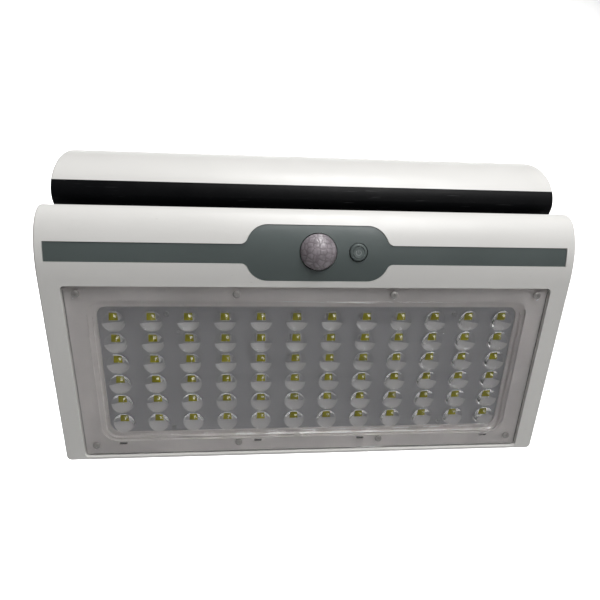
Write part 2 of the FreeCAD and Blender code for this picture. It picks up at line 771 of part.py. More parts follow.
def power_button():
    """Round cap with sloping sides and a ring groove, a retaining flange and a stem."""
    top = -BUTTON_PROUD
    groove_inner, groove_outer = BUTTON_GROOVE
    flange_front, flange_back = BUTTON_FLANGE
    cone = Part.makeCone(BUTTON_FACE_RADIUS, BUTTON_RADIUS, BUTTON_CHAMFER, vec(BUTTON_X, 0, top))
    cap = cone.fuse(depth_rod(BUTTON_X, 0, BUTTON_RADIUS, top + BUTTON_CHAMFER, flange_back))
    groove = depth_rod(BUTTON_X, 0, groove_outer, top - 1, top + BUTTON_GROOVE_DEPTH)
    groove = groove.cut(depth_rod(BUTTON_X, 0, groove_inner, top - 2, top + 2))
    flange = depth_rod(BUTTON_X, 0, BUTTON_RADIUS + BUTTON_FLANGE_WIDTH, flange_front, flange_back)
    stem = depth_rod(BUTTON_X, 0, STEM_RADIUS, flange_front + BUTTON_GROOVE_DEPTH, PLUNGER[0])
    return pod(join([cap.cut(groove), flange, stem]))


def tact_switch():
    body = block(BUTTON_X - SWITCH_HALF, BUTTON_X + SWITCH_HALF, -SWITCH_HALF, SWITCH_HALF,
                 SWITCH_FACE, CONTROL_FACE)
    bore = depth_rod(BUTTON_X, 0, PLUNGER_RADIUS + BOLT_CLEARANCE, SWITCH_FACE - 1, SWITCH_BORE_BACK)
    return pod(body.cut(bore))


def switch_plunger():
    return pod(depth_rod(BUTTON_X, 0, PLUNGER_RADIUS, *PLUNGER))


def control_board():
    half_wide, half_high = CONTROL_HALF
    board = block(-half_wide, half_wide, -half_high, half_high,
                  CONTROL_FACE, CONTROL_FACE + CONTROL_THICK)
    for x, offset in POD_SCREWS:
        board = board.cut(depth_rod(x, offset, SMALL_HOLE, 0, 20))
    return pod(board)


# chips of both boards: middle X, middle Y, width, height, thickness
CONTROL_CHIPS = [(0.0, 0.0, 9.0, 4.0, 1.6), (14.5, 0.0, 5.0, 4.0, 1.6), (-17.0, 0.0, 6.0, 6.0, 2.2)]
CHARGE_CHIPS = [(0.0, 114.5, 6.0, 5.0, 1.6), (19.0, 102.5, 6.0, 5.0, 1.6)]
CONNECTOR_WALL = 0.8


def chips(places, seat, side):
    """Chips on a board; side is 1 behind the board and -1 on its face."""
    shapes = []
    for x, along, wide, high, thick in places:
        depth0, depth1 = sorted((seat, seat + side * thick))
        shapes.append(block(x - wide / 2, x + wide / 2, along - high / 2, along + high / 2,
                            depth0, depth1))
    return Part.makeCompound(shapes)


def connector(x0, x1, y0, y1, seat, top):
    """Open-topped plug socket that stands from a board's seat to its top."""
    side = 1 if top > seat else -1
    depth0, depth1 = sorted((seat, top))
    well0, well1 = sorted((seat + side, top + side))
    well = block(x0 + CONNECTOR_WALL, x1 - CONNECTOR_WALL,
                 y0 + CONNECTOR_WALL, y1 - CONNECTOR_WALL, well0, well1)
    return block(x0, x1, y0, y1, depth0, depth1).cut(well)


def control_chips():
    return pod(chips(CONTROL_CHIPS, CONTROL_FACE + CONTROL_THICK, 1))


def control_connector():
    back = CONTROL_FACE + CONTROL_THICK
    return pod(connector(20.0, 28.0, -5.5, -0.5, back, back + 6))


def control_screws():
    screws = []
    seat = CONTROL_FACE + CONTROL_THICK
    for x, offset in POD_SCREWS:
        screws.append(pan_screw(x, offset, seat, POD_SCREW_LENGTH, SMALL_RADIUS,
                                POD_HEAD_RADIUS, POD_HEAD))
    return pod(Part.makeCompound(screws))


def cable_gland(leaf, along):
    """Rubber grommet on the gland pad, closed by a thin web until a lead is fitted."""
    seat = leaf.back_depth(along) + PAD_RISE
    neck = depth_rod(0, along, GLAND_RADIUS, seat - GLAND_NECK, seat + 0.5)
    brim = depth_rod(0, along, GLAND_BRIM_RADIUS, seat, seat + GLAND_BRIM)
    bore = depth_rod(0, along, GLAND_BORE, seat - GLAND_NECK + GLAND_WEB, seat + 3)
    return neck.fuse(brim).cut(bore)


def vent_plug(leaf, along):
    """Breather plug in the back wall that lets pressure out and keeps water out."""
    seat = leaf.back_depth(along)
    brim_front, brim_back = VENT_BRIM
    stem = depth_rod(VENT_X, along, VENT_RADIUS, seat - VENT_STEM, seat + ROOT)
    return stem.fuse(depth_rod(VENT_X, along, VENT_BRIM_RADIUS, seat + brim_front, seat + brim_back))


# ---------------------------------------------------------------- solar leaf
PANEL_FLOOR = GLASS_FACE + GLASS_THICK + CELL_THICK + BACKSHEET_THICK + ADHESIVE_THICK
LEAD_HOLE = (0.0, 100.0)


def solar_top_shell():
    outer = rounded_leaf(SOLAR)
    cavity = leaf_solid(SOLAR, SHELL_WALL)
    floor = block(-PANEL_HALF - SHELL_WALL, PANEL_HALF + SHELL_WALL,
                  PANEL_TOP - SHELL_WALL, LEAF_LENGTH - 1, 1, PANEL_FLOOR + PANEL_SHELF)
    shell = outer.cut(cavity).common(split_slab(SOLAR, -60, 0))
    bosses = [front_boss(SOLAR, x, along) for x, along in SOLAR_STATIONS]
    shell = join([shell, floor.common(outer)] + bosses)
    recess = rounded_block(PANEL_HALF, PANEL_TOP, PANEL_BOTTOM, -1, PANEL_FLOOR, RECESS_RADIUS)
    shell = shell.cut(recess)
    return shell.cut(depth_rod(*LEAD_HOLE, LEAD_HOLE_RADIUS, 0, 15))


def panel_plate(face, thick):
    return rounded_block(PANEL_HALF - COVER_GAP, PANEL_TOP + COVER_GAP, PANEL_BOTTOM - COVER_GAP,
                         face, face + thick, COVER_RADIUS)


def panel_glass():
    return panel_plate(GLASS_FACE, GLASS_THICK)


def panel_cells():
    """One row of upright cell strips, wired in series."""
    face = GLASS_FACE + GLASS_THICK
    span = 2 * (PANEL_HALF - COVER_GAP - PANEL_MARGIN)
    wide = (span - (CELL_COLUMNS - 1) * CELL_GAP) / CELL_COLUMNS
    cells = []
    for column in range(CELL_COLUMNS):
        left = -span / 2 + column * (wide + CELL_GAP)
        cells.append(block(left, left + wide, PANEL_TOP + PANEL_MARGIN + CELL_INSET,
                           PANEL_BOTTOM - PANEL_MARGIN - CELL_INSET, face, face + CELL_THICK))
    return Part.makeCompound(cells)


def panel_backsheet():
    """Backing board; a shallow rim stands round the cells and meets the glass."""
    face = GLASS_FACE + GLASS_THICK
    plate = panel_plate(face, CELL_THICK + BACKSHEET_THICK)
    well = rounded_block(PANEL_HALF - COVER_GAP - PANEL_MARGIN + WELL_SPARE,
                         PANEL_TOP + PANEL_MARGIN + WELL_SPARE, PANEL_BOTTOM - PANEL_MARGIN - WELL_SPARE,
                         face - 1, face + CELL_THICK, WELL_RADIUS)
    plate = plate.cut(well)
    return plate.cut(depth_rod(*LEAD_HOLE, LEAD_SLIT_RADIUS, 0, 15))


def panel_frame(inset, face, back):
    return rounded_block(PANEL_HALF - inset, PANEL_TOP + inset, PANEL_BOTTOM - inset,
                         face, back, ADHESIVE_RADIUS)


def panel_adhesive():
    """Bead of adhesive under the edge of the backing board."""
    face = PANEL_FLOOR - ADHESIVE_THICK
    bead = panel_frame(ADHESIVE_INSET, face, PANEL_FLOOR)
    return bead.cut(panel_frame(ADHESIVE_INSET + ADHESIVE_WIDTH, face - 1, PANEL_FLOOR + 1))


def solar_rear_shell():
    posts = [(x, along, POST_RADIUS, CHARGE_FACE + CHARGE_THICK) for x, along in CHARGE_POSTS]
    posts += [(x, along, HOLDER_POST_RADIUS, HOLDER_BACK) for x, along in HOLDER_SCREWS]
    axis = (AXIS_IN_SOLAR.y, AXIS_IN_SOLAR.z)
    lugs = ears(SOLAR, axis, ((8.0, 34.0), (41.0, 43.0)), SOLAR_EAR)
    return rear_shell(SOLAR, SOLAR_STATIONS, posts, lugs, SOLAR_GLAND, SOLAR_VENT)


def battery_cells():
    cells = []
    for index in range(CELL_COUNT):
        middle = (index - (CELL_COUNT - 1) / 2) * CELL_SPACING
        start = vec(middle - CELL_LENGTH / 2, BATTERY_ALONG, BATTERY_DEPTH)
        end = vec(middle + CELL_LENGTH / 2 - CELL_NUB, BATTERY_ALONG, BATTERY_DEPTH)
        nub = vec(middle + CELL_LENGTH / 2, BATTERY_ALONG, BATTERY_DEPTH)
        cells.append(rod(CELL_RADIUS, start, end).fuse(rod(CELL_NUB_RADIUS, end, nub)))
    return Part.makeCompound(cells)


def battery_holder():
    """Cradle under the cells, screwed to two posts of the rear shell."""
    half_long, half_wide = HOLDER_HALF
    tab_long, tab_wide = HOLDER_TAB_HALF
    cradle = block(-half_long, half_long, BATTERY_ALONG - half_wide, BATTERY_ALONG + half_wide,
                   BATTERY_DEPTH, HOLDER_BACK)
    tabs = block(-tab_long, tab_long, BATTERY_ALONG - tab_wide, BATTERY_ALONG + tab_wide,
                 HOLDER_TAB_FACE, HOLDER_BACK)
    trough = rod(CELL_RADIUS + TRIM_GAP, vec(-TROUGH_HALF, BATTERY_ALONG, BATTERY_DEPTH),
                 vec(TROUGH_HALF, BATTERY_ALONG, BATTERY_DEPTH))
    holder = cradle.fuse(tabs).cut(trough)
    for x, along in HOLDER_SCREWS:
        holder = holder.cut(depth_rod(x, along, SMALL_HOLE, 30, 50))
    return holder


def battery_contacts():
    """Nickel strips between cells and at both ends of the row."""
    half_high, half_deep = CONTACT_HALF
    end = CELL_SPACING * CELL_COUNT / 2
    starts = [-end, -CELL_SPACING / 2 - CONTACT_THICK / 2,
              CELL_SPACING / 2 - CONTACT_THICK / 2, end - CONTACT_THICK]
    strips = []
    for x in starts:
        strips.append(block(x, x + CONTACT_THICK, BATTERY_ALONG - half_high, BATTERY_ALONG + half_high,
                            BATTERY_DEPTH - half_deep, BATTERY_DEPTH + half_deep))
    return Part.makeCompound(strips)


def charge_board():
    board = block(-CHARGE_HALF_WIDE, CHARGE_HALF_WIDE, *CHARGE_SPAN,
                  CHARGE_FACE, CHARGE_FACE + CHARGE_THICK)
    for x, along in CHARGE_POSTS:
        board = board.cut(depth_rod(x, along, SMALL_HOLE, 0, 30))
    return board


COIL_PLACE = (-12.0, 104.0)
COIL_RADIUS = 5.0
COIL_BORE = 1.6
COIL_HEIGHT = 4.5
CAPACITOR_PLACES = [(8.0, 98.0), (8.0, 108.0)]
CAPACITOR_RADIUS = 2.5
SOCKET_HEIGHT = 5.0
SOCKETS = [(-24.0, -16.0), (14.0, 22.0)]
SOCKET_SPAN = (119.5, 125.5)


def charge_inductor():
    coil = depth_rod(*COIL_PLACE, COIL_RADIUS, CHARGE_FACE - COIL_HEIGHT, CHARGE_FACE)
    return coil.cut(depth_rod(*COIL_PLACE, COIL_BORE, CHARGE_FACE - COIL_HEIGHT - 1, CHARGE_FACE - 1))


def charge_capacitors():
    cans = []
    for x, along in CAPACITOR_PLACES:
        cans.append(depth_rod(x, along, CAPACITOR_RADIUS, CHARGE_FACE - SOCKET_HEIGHT, CHARGE_FACE))
    return Part.makeCompound(cans)


def charge_chips():
    return chips(CHARGE_CHIPS, CHARGE_FACE, -1)


def charge_connectors():
    shapes = []
    for x0, x1 in SOCKETS:
        shapes.append(connector(x0, x1, *SOCKET_SPAN, CHARGE_FACE, CHARGE_FACE - SOCKET_HEIGHT))
    return Part.makeCompound(shapes)


# ---------------------------------------------------------------- hinge and bracket
def sides():
    return (1, -1)


def x_span(side, near, far):
    """Distances from the middle as an ordered pair of X values on one side."""
    return (near, far) if side > 0 else (-far, -near)


def on_axis(x):
    return vec(x, AXIS_POINT.y, AXIS_POINT.z)


def ring(near, far, radius, hole):
    rings = []
    for side in sides():
        x0, x1 = x_span(side, near, far)
        bore = rod(hole, on_axis(x0 - 1), on_axis(x1 + 1))
        rings.append(rod(radius, on_axis(x0), on_axis(x1)).cut(bore))
    return rings


def hinge_bolts():
    bolts = []
    for side in sides():
        seat = ARM[1] + WASHER_THICK
        x0, x1 = x_span(side, seat, seat + HEAD_THICK)
        head = hexagon(x0, x1, AXIS_POINT)
        s0, s1 = x_span(side, LAMP_EAR[0] - BOLT_END, seat + 1.0)
        bolts.append(head.fuse(rod(BOLT_RADIUS, on_axis(s0), on_axis(s1))))
    return Part.makeCompound(bolts)


def hinge_nuts():
    nuts = []
    for side in sides():
        seat = LAMP_EAR[0] - WASHER_THICK
        x0, x1 = x_span(side, seat - NUT_THICK, seat)
        hole = rod(BOLT_RADIUS, on_axis(x0 - 1), on_axis(x1 + 1))
        nuts.append(hexagon(x0, x1, AXIS_POINT).cut(hole))
    return Part.makeCompound(nuts)


def hinge_washers():
    hole = BOLT_RADIUS + WASHER_CLEARANCE
    rings = ring(ARM[1], ARM[1] + WASHER_THICK, WASHER_RADIUS, hole)
    rings += ring(LAMP_EAR[0] - WASHER_THICK, LAMP_EAR[0], WASHER_RADIUS, hole)
    return Part.makeCompound(rings)


def friction_washers():
    """Fibre washers that hold each leaf where it is set."""
    radius = WASHER_RADIUS + FIBRE_EXTRA
    hole = BOLT_RADIUS + WASHER_CLEARANCE
    rings = ring(SOLAR_EAR[1], ARM[0], radius, hole)
    rings += ring(LAMP_EAR[1], SOLAR_EAR[0], radius, hole)
    return Part.makeCompound(rings)


def wall_bracket():
    """One strip of steel bent to a U: two arms and a wall plate with four holes."""
    bend_y = -STEEL - BEND_RADIUS
    corner_y, corner_z = ARM_CORNER
    outline = [(bend_y, PLATE_HALF_HEIGHT), (bend_y, -PLATE_HALF_HEIGHT),
               (AXIS_POINT.y - corner_y, AXIS_POINT.z - corner_z),
               (AXIS_POINT.y + corner_y, AXIS_POINT.z + corner_z)]
    inner = ARM[0] - BEND_RADIUS
    pieces = [block(-inner, inner, -STEEL, 0, -PLATE_HALF_HEIGHT, PLATE_HALF_HEIGHT)]
    for side in sides():
        x0, x1 = x_span(side, ARM[0], ARM[1])
        arm = prism(outline, x0, x1)
        arm = arm.fuse(rod(ARM_END_RADIUS, on_axis(x0), on_axis(x1)))
        pieces.append(arm.cut(rod(BOLT_RADIUS + BOLT_CLEARANCE, on_axis(x0 - 1), on_axis(x1 + 1))))
        base = vec(side * inner, bend_y, -PLATE_HALF_HEIGHT)
        outer_bend = Part.makeCylinder(BEND_RADIUS + STEEL, 2 * PLATE_HALF_HEIGHT, base)
        inner_bend = Part.makeCylinder(BEND_RADIUS, 2 * PLATE_HALF_HEIGHT, base)
        c0, c1 = x_span(side, inner, ARM[1] + 1)
        corner = block(c0, c1, bend_y, 1, -PLATE_HALF_HEIGHT, PLATE_HALF_HEIGHT)
        pieces.append(outer_bend.cut(inner_bend).common(corner))
    bracket = join(pieces)
    for x in (-WALL_HOLE_SPACING[0] / 2, WALL_HOLE_SPACING[0] / 2):
        for z in (-WALL_HOLE_SPACING[1] / 2, WALL_HOLE_SPACING[1] / 2):
            bracket = bracket.cut(rod(WALL_HOLE_RADIUS, vec(x, -10, z), vec(x, 5, z)))
    return bracket


# ---------------------------------------------------------------- export
def lamp_parts():
    return {
        "lamp_front_shell": lamp_front_shell(),
        "lamp_rear_shell": lamp_rear_shell(),
        "lamp_shell_seal": seal_ring(LAMP),
        "lamp_shell_screws": shell_screws(LAMP, LAMP_STATIONS),
        "trim_panel": trim_panel(),
        "lens_cover": lens_cover(),
        "lens_gasket": lens_gasket(),
        "lens_screws": lens_screws(),
        "led_board": led_board(),
        "led_packages": led_packages(),
        "led_board_screws": face_screws(BOARD_SCREWS, BOARD_FACE, BOARD_HEAD_RADIUS, BOARD_HEAD),
        "pir_lens": pir_lens(),
        "pir_sensor": pir_sensor(),
        "pir_window": pir_window(),
        "power_button": power_button(),
        "switch_plunger": switch_plunger(),
        "tact_switch": tact_switch(),
        "control_board": control_board(),
        "control_chips": control_chips(),
        "control_connector": control_connector(),
        "control_screws": control_screws(),
        "lamp_cable_gland": cable_gland(LAMP, LAMP_GLAND),
        "lamp_vent_plug": vent_plug(LAMP, LAMP_VENT),
    }


def solar_parts():
    return {
        "solar_top_shell": solar_top_shell(),
        "solar_rear_shell": solar_rear_shell(),
        "solar_shell_seal": seal_ring(SOLAR),
        "solar_shell_screws": shell_screws(SOLAR, SOLAR_STATIONS),
        "panel_glass": panel_glass(),
        "panel_cells": panel_cells(),
        "panel_backsheet": panel_backsheet(),
        "panel_adhesive": panel_adhesive(),
        "battery_cells": battery_cells(),
        "battery_holder": battery_holder(),
        "battery_contacts": battery_contacts(),
        "battery_holder_screws": face_screws(HOLDER_SCREWS, HOLDER_TAB_FACE, FACE_HEAD_RADIUS, FACE_HEAD),
        "charge_board": charge_board(),
        "charge_inductor": charge_inductor(),
        "charge_capacitors": charge_capacitors(),
        "charge_chips": charge_chips(),
        "charge_connectors": charge_connectors(),
        "charge_board_screws": face_screws(CHARGE_POSTS, CHARGE_FACE, FACE_HEAD_RADIUS, FACE_HEAD),
        "solar_cable_gland": cable_gland(SOLAR, SOLAR_GLAND),
        "solar_vent_plug": vent_plug(SOLAR, SOLAR_VENT),
    }


def bracket_parts():
    return {
        "wall_bracket": wall_bracket(),
        "hinge_bolts": hinge_bolts(),
        "hinge_nuts": hinge_nuts(),
        "hinge_washers": hinge_washers(),
        "friction_washers": friction_washers(),
    }


def export(name, shape):
    shape.exportStep("parts/" + name + ".step")
    state = "valid" if shape.isValid() else "INVALID"
    print(name, state, len(shape.Solids), "solids", round(shape.Volume, 1), "mm3")


def main():
    os.makedirs("parts", exist_ok=True)
    for name, shape in lamp_parts().items():
        export(name, LAMP.place(shape))
    for name, shape in solar_parts().items():
        export(name, SOLAR.place(shape))
    for name, shape in bracket_parts().items():
        export(name, shape)
    print("hinge axis", AXIS_POINT)
    print("axis in solar frame", AXIS_IN_SOLAR)
    print("button push direction", LAMP_FRAME.multiply(POD_FRAME).multiply(vec(0, 0, 1))
          .sub(LAMP_FRAME.multiply(POD_FRAME).multiply(vec(0, 0, 0))))


main()
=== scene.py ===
import bmesh
import bpy
import json
import math
from mathutils import Matrix, Vector


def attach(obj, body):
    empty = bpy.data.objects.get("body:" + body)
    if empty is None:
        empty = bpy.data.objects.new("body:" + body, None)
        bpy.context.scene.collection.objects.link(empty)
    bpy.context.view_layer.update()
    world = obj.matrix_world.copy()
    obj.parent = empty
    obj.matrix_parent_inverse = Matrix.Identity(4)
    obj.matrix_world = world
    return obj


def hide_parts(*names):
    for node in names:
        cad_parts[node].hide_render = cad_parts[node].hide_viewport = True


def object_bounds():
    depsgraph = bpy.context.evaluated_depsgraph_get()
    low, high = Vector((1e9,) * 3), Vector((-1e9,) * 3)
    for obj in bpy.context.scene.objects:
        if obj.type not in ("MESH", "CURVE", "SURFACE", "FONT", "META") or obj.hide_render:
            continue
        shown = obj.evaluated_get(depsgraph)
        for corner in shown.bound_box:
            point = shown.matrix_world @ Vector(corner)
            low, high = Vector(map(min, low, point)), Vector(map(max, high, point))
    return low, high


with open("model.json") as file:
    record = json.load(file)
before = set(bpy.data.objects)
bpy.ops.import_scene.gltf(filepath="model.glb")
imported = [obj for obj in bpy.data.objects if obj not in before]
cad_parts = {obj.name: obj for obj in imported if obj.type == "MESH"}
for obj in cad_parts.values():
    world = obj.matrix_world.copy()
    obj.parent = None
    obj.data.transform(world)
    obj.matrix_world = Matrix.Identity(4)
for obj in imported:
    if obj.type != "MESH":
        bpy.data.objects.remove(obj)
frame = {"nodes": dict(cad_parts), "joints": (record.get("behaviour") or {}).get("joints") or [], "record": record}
CAD_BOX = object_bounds()
NODES = frame["nodes"]
MM = 0.001

# ---------------------------------------------------------------- driving dimensions, mm
# Leaf frames are those of the CAD model: X across, Y from nose to tail, Z depth below the face.
LAMP_TILT = 20.0
PANEL_RISE = 15.0
HINGE_IN_LAMP = (30.6, 50.0)
HINGE_IN_SOLAR = (20.613, 58.427)

# nose of the lamp leaf: quarter ellipse from the tip to the flat face
NOSE = 36.0
NOSE_DEPTH = 17.3

# clear cover
RECESS_HALF = 138.8
RECESS_TOP = 40.6
RECESS_BOTTOM = 151.7
COVER_GAP = 0.4
COVER_FACE = 1.2
COVER_BACK = 3.2
RIM_HALF = 127.2
RIM_TOP = 49.5
RIM_BOTTOM = 141.4
RIM_RADIUS = 9.0
RIM_WIDTH = 3.6
RIM_FACE = 0.6
FLANGE_RADIUS = 2.1
FLANGE_BEVEL = 0.4
FLOOR_FACE = 3.5
FLOOR_BACK = 5.5
DOME_RADIUS = 6.35
DOME_HEIGHT = 4.5
DOME_FLARE = 0.25           # the foot's flare into the floor
DOME_RINGS = 9
DOME_SIDES = 32
DOME_START = math.radians(-135)
AREA_INSETS = (1.0, 2.2, 1.6)  # of the lens cells in the pocket: sides, top, bottom
AREA_RADIUS = 6.0
SMALL_SIDES = 32            # of screws, screw holes and mould rings
COLUMNS = 12
ROWS = 6
COLUMN_PITCH = 20.8
ROW_PITCH = 13.45
FIRST_ROW = 62.5
SCREW_COLUMNS = (-131.8, -45.0, 45.0, 131.8)
SCREW_ROWS = (45.4, 144.4)
SCREW_SEAT = COVER_FACE + 0.9
SCREW_HEAD = 1.3
CROSS_HALF = 0.2
SLOT_COLUMNS = (-115.7, -32.9, 32.9, 115.7)
SLOT_ROW = 143.6
SLOT_HALF = (2.5, 0.75)
# dark pegs in the slots are painted shade for the inside of the slots
PEG_HALF = (2.35, 0.68)
PEG_FACE = 2.0
PEG_BACK = 5.6
PEG_BEVEL = 0.15
CUT_DEPTH = 5.0             # well past the back of the flange
MOULD_RINGS = ((-78.5, 69.0), (78.5, 69.0))

# diodes
BOARD_FACE = 6.55
LED_OFFSET = -1.7
LED_SIZE = 3.8
LED_DEEP = 1.05
LED_BORDER = 0.14
LED_WINDOW_DEEP = 0.1
WETTED = 0.08               # the cover sinks this far into what touches its back

# pale film on the board under each lens, painted light standing for the light each lens focuses there: an arc
# below, and a shallow curve across its upper edge
FILM_RADIUS = 6.1
FILM_DROP = 1.2
FILM_ARC = (10, 160)        # start and sweep, degrees
FILM_EDGE_HALF = 6.0
FILM_EDGE_DROP = 2.3
FILM_EDGE_BOW = 0.9
FILM_DEPTHS = (BOARD_FACE - 0.04, BOARD_FACE - 0.01)

# pod
POD_CENTRE = 20.6
PIR_RADIUS = 10.0
PIR_HEIGHT = 5.0
PIR_SKIN = 0.8
PIR_FOOT = 4.6
PIR_SIDES = 96
PIR_CROWN = 0.28            # the mesh's crown stands this far past the nominal height
LENSLET_PITCH = 3.6
LENSLET_RIDGE = 0.22        # width of a ridge, as a share of the pitch
LENSLET_MARGIN = 1.2        # plain border round the lenslets
LENSLET_FADE = 0.6
OUTER_FACET = 0.10
INNER_FACET = -0.55
BUTTON_X = 22.3
BUTTON_TOP = -0.5
ICON_RADII = (1.25, 1.6)
ICON_GAP = 38               # half of the ring's opening, degrees
ICON_CENTRE = 0.15
ICON_BAR = (-1.65, 0.1)
ICON_BAR_HALF = 0.18
ICON_FACE = BUTTON_TOP + 0.01
ICON_BACK = BUTTON_TOP + 0.12
BUTTON_SIDES = 64

# solar panel
CELL_COUNT = 12
CELL_GAP = 1.2
CELL_FACE = 2.3
CELL_DEEP = 0.28
CELL_SPAN = 268.8
CELL_TOP = 51.0
CELL_BOTTOM = 146.0
CELL_CORNER = 2.2
RIBBON_SHARES = (0.2, 0.5, 0.8)
RIBBON_HALF = 0.6
RIBBON_OVERHANG = 1
STRIP_DEPTHS = (CELL_FACE + 0.03, CELL_FACE + CELL_DEEP)
RIBBON_DEPTHS = (CELL_FACE + 0.005, CELL_FACE + 0.05)

# studio and camera, metres unless said
SWEEP_DROP = 1.2
SWEEP_BEHIND = 2.6
SWEEP_FRONT = -4.0
SWEEP_RADIUS = 1.2
SWEEP_HEIGHT = 5.0
SWEEP_HALF = 6
SWEEP_STEPS = 12
LIGHTING_STRENGTH = 0.06    # of the world, where it lights the object
BACKDROP_STRENGTH = 0.8     # of the world, where the camera sees it
CAMERA_SENSOR = 36.0        # mm
CAMERA_LENS = 27.36         # mm
CAMERA_OFFSET = (-0.0328, -0.2537, -0.0066)
CAMERA_RIGHT = (0.9959, -0.0906, 0.0030)
CAMERA_FORWARD = (0.0906, 0.9959, -0.0016)

# sockets of a Mix node in colour mode
MIX_FACTOR, MIX_FIRST, MIX_SECOND, MIX_RESULT = 0, 6, 7, 2


# ---------------------------------------------------------------- frames
def leaf_frame(across, along, depth, hinge):
    """Leaf coordinates in mm to the record's in metres, pinned at the hinge axis."""
    axis_point = Vector(frame["joints"][0]["pos_m"])
    turn = Matrix((across, along, depth)).transposed()
    origin = axis_point - turn @ Vector((0, hinge[0] * MM, hinge[1] * MM))
    return Matrix.Translation(origin) @ (turn * MM).to_4x4()


def lamp_frame():
    tilt = math.radians(LAMP_TILT)
    along = (0, math.sin(tilt), -math.cos(tilt))
    depth = (0, math.cos(tilt), math.sin(tilt))
    return leaf_frame((1, 0, 0), along, depth, HINGE_IN_LAMP)


def solar_frame():
    rise = math.radians(PANEL_RISE)
    along = (0, math.cos(rise), math.sin(rise))
    depth = (0, math.sin(rise), -math.cos(rise))
    return leaf_frame((-1, 0, 0), along, depth, HINGE_IN_SOLAR)


def nose_depth(along):
    """Depth of the lamp's nose below the face, at a distance from its tip."""
    reach = max(0.0, (NOSE - along) / NOSE)
    return NOSE_DEPTH * (1 - math.sqrt(1 - reach * reach))


def pod_frame():
    """Tangent frame on the nose under the pod."""
    reach = (NOSE - POD_CENTRE) / NOSE
    slope = NOSE_DEPTH * reach / (NOSE * math.sqrt(1 - reach * reach))
    tip = math.atan(slope)
    along = (0, math.cos(tip), -math.sin(tip))
    inward = (0, math.sin(tip), math.cos(tip))
    turn = Matrix(((1, 0, 0), along, inward)).transposed().to_4x4()
    return LAMP @ Matrix.Translation((0, POD_CENTRE, nose_depth(POD_CENTRE))) @ turn


LAMP = lamp_frame()
SOLAR = solar_frame()
POD = pod_frame()


# ---------------------------------------------------------------- materials
class Shader:
    """A Principled material with short calls for its node network."""

    def __init__(self, name, color, roughness, **settings):
        self.material = bpy.data.materials.new(name)
        self.material.use_nodes = True
        self.tree = self.material.node_tree
        self.bsdf = self.tree.nodes["Principled BSDF"]
        self.color = color
        self.bsdf.inputs["Base Color"].default_value = (*color, 1)
        self.bsdf.inputs["Roughness"].default_value = roughness
        for key, value in settings.items():
            self.bsdf.inputs[key.replace("_", " ")].default_value = value
        self.place = self.node("ShaderNodeTexCoord").outputs["Object"]

    def node(self, kind, **values):
        made = self.tree.nodes.new(kind)
        for key, value in values.items():
            if key in made.inputs:
                made.inputs[key].default_value = value
            else:
                setattr(made, key, value)
        return made

    def link(self, output, target):
        self.tree.links.new(output, target)

    def stretched(self, scale, turn=(0, 0, 0)):
        mapping = self.node("ShaderNodeMapping")
        mapping.inputs["Scale"].default_value = scale
        mapping.inputs["Rotation"].default_value = turn
        self.link(self.place, mapping.inputs["Vector"])
        return mapping.outputs["Vector"]

    def noise(self, scale, detail=3.0, vector=None):
        made = self.node("ShaderNodeTexNoise", Scale=scale, Detail=detail)
        self.link(vector or self.place, made.inputs["Vector"])
        return made.outputs["Fac"]

    def ranged(self, value, low, high, out_low, out_high):
        made = self.node("ShaderNodeMapRange")
        for key, number in zip(("From Min", "From Max", "To Min", "To Max"),
                               (low, high, out_low, out_high)):
            made.inputs[key].default_value = number
        self.link(value, made.inputs["Value"])
        return made.outputs["Result"]

    def tint(self, factor, other):
        """Mix the colour so far with another by factor."""
        mix = self.node("ShaderNodeMix", data_type="RGBA")
        base = self.bsdf.inputs["Base Color"]
        if base.is_linked:
            self.link(base.links[0].from_socket, mix.inputs[MIX_FIRST])
        else:
            mix.inputs[MIX_FIRST].default_value = (*self.color, 1)
        mix.inputs[MIX_SECOND].default_value = (*other, 1)
        self.link(factor, mix.inputs[MIX_FACTOR])
        self.link(mix.outputs[MIX_RESULT], base)
        return self

    def blotches(self, scale, amount):
        """Slow colour drift, as in real mouldings."""
        darker = tuple(c * (1 - amount) for c in self.color)
        return self.tint(self.ranged(self.noise(scale), 0.35, 0.65, 0, 1), darker)

    def roughen(self, scale, low, high):
        spread = self.ranged(self.noise(scale), 0.3, 0.7, low, high)
        self.link(spread, self.bsdf.inputs["Roughness"])
        return self

    def bump(self, height, distance, strength=0.5):
        made = self.node("ShaderNodeBump", Distance=distance, Strength=strength)
        self.link(height, made.inputs["Height"])
        normal = self.bsdf.inputs["Normal"]
        if normal.is_linked:
            self.link(normal.links[0].from_socket, made.inputs["Normal"])
        self.link(made.outputs["Normal"], normal)
        return self

    def grain(self, scale, distance, strength=0.5):
        return self.bump(self.noise(scale, 2.0), distance, strength)

    def scuffs(self, stretch, scale, low, high, other, turn=(0, 0, 0)):
        """Thin pale rubs where the surface has been handled."""
        streak = self.noise(scale, 6.0, self.stretched(stretch, turn))
        return self.tint(self.ranged(streak, low, high, 0, 1), other)


def white_shell_material():
    shader = Shader("white_shell", (0.80, 0.79, 0.765), 0.36, Specular_IOR_Level=0.45)
    shader.blotches(9, 0.035).roughen(60, 0.30, 0.42)
    shader.scuffs((40, 400, 40), 6, 0.70, 0.80, (0.66, 0.65, 0.63), (0.3, 0.2, 0.4))
    return shader.grain(1400, 0.00006, 0.35).material


def black_shell_material():
    shader = Shader("black_shell", (0.0036, 0.0038, 0.0046), 0.38, Specular_IOR_Level=0.14)
    shader.blotches(14, 0.3).roughen(45, 0.34, 0.5)
    shader.scuffs((30, 700, 500), 1.5, 0.66, 0.78, (0.05, 0.05, 0.053), (0.5, 0.1, 0.7))
    return shader.grain(2200, 0.00008, 0.5).material


def trim_material():
    shader = Shader("trim_grey", (0.1, 0.122, 0.119), 0.4)
    shader.blotches(20, 0.1).roughen(80, 0.34, 0.46)
    return shader.grain(2600, 0.00005, 0.45).material


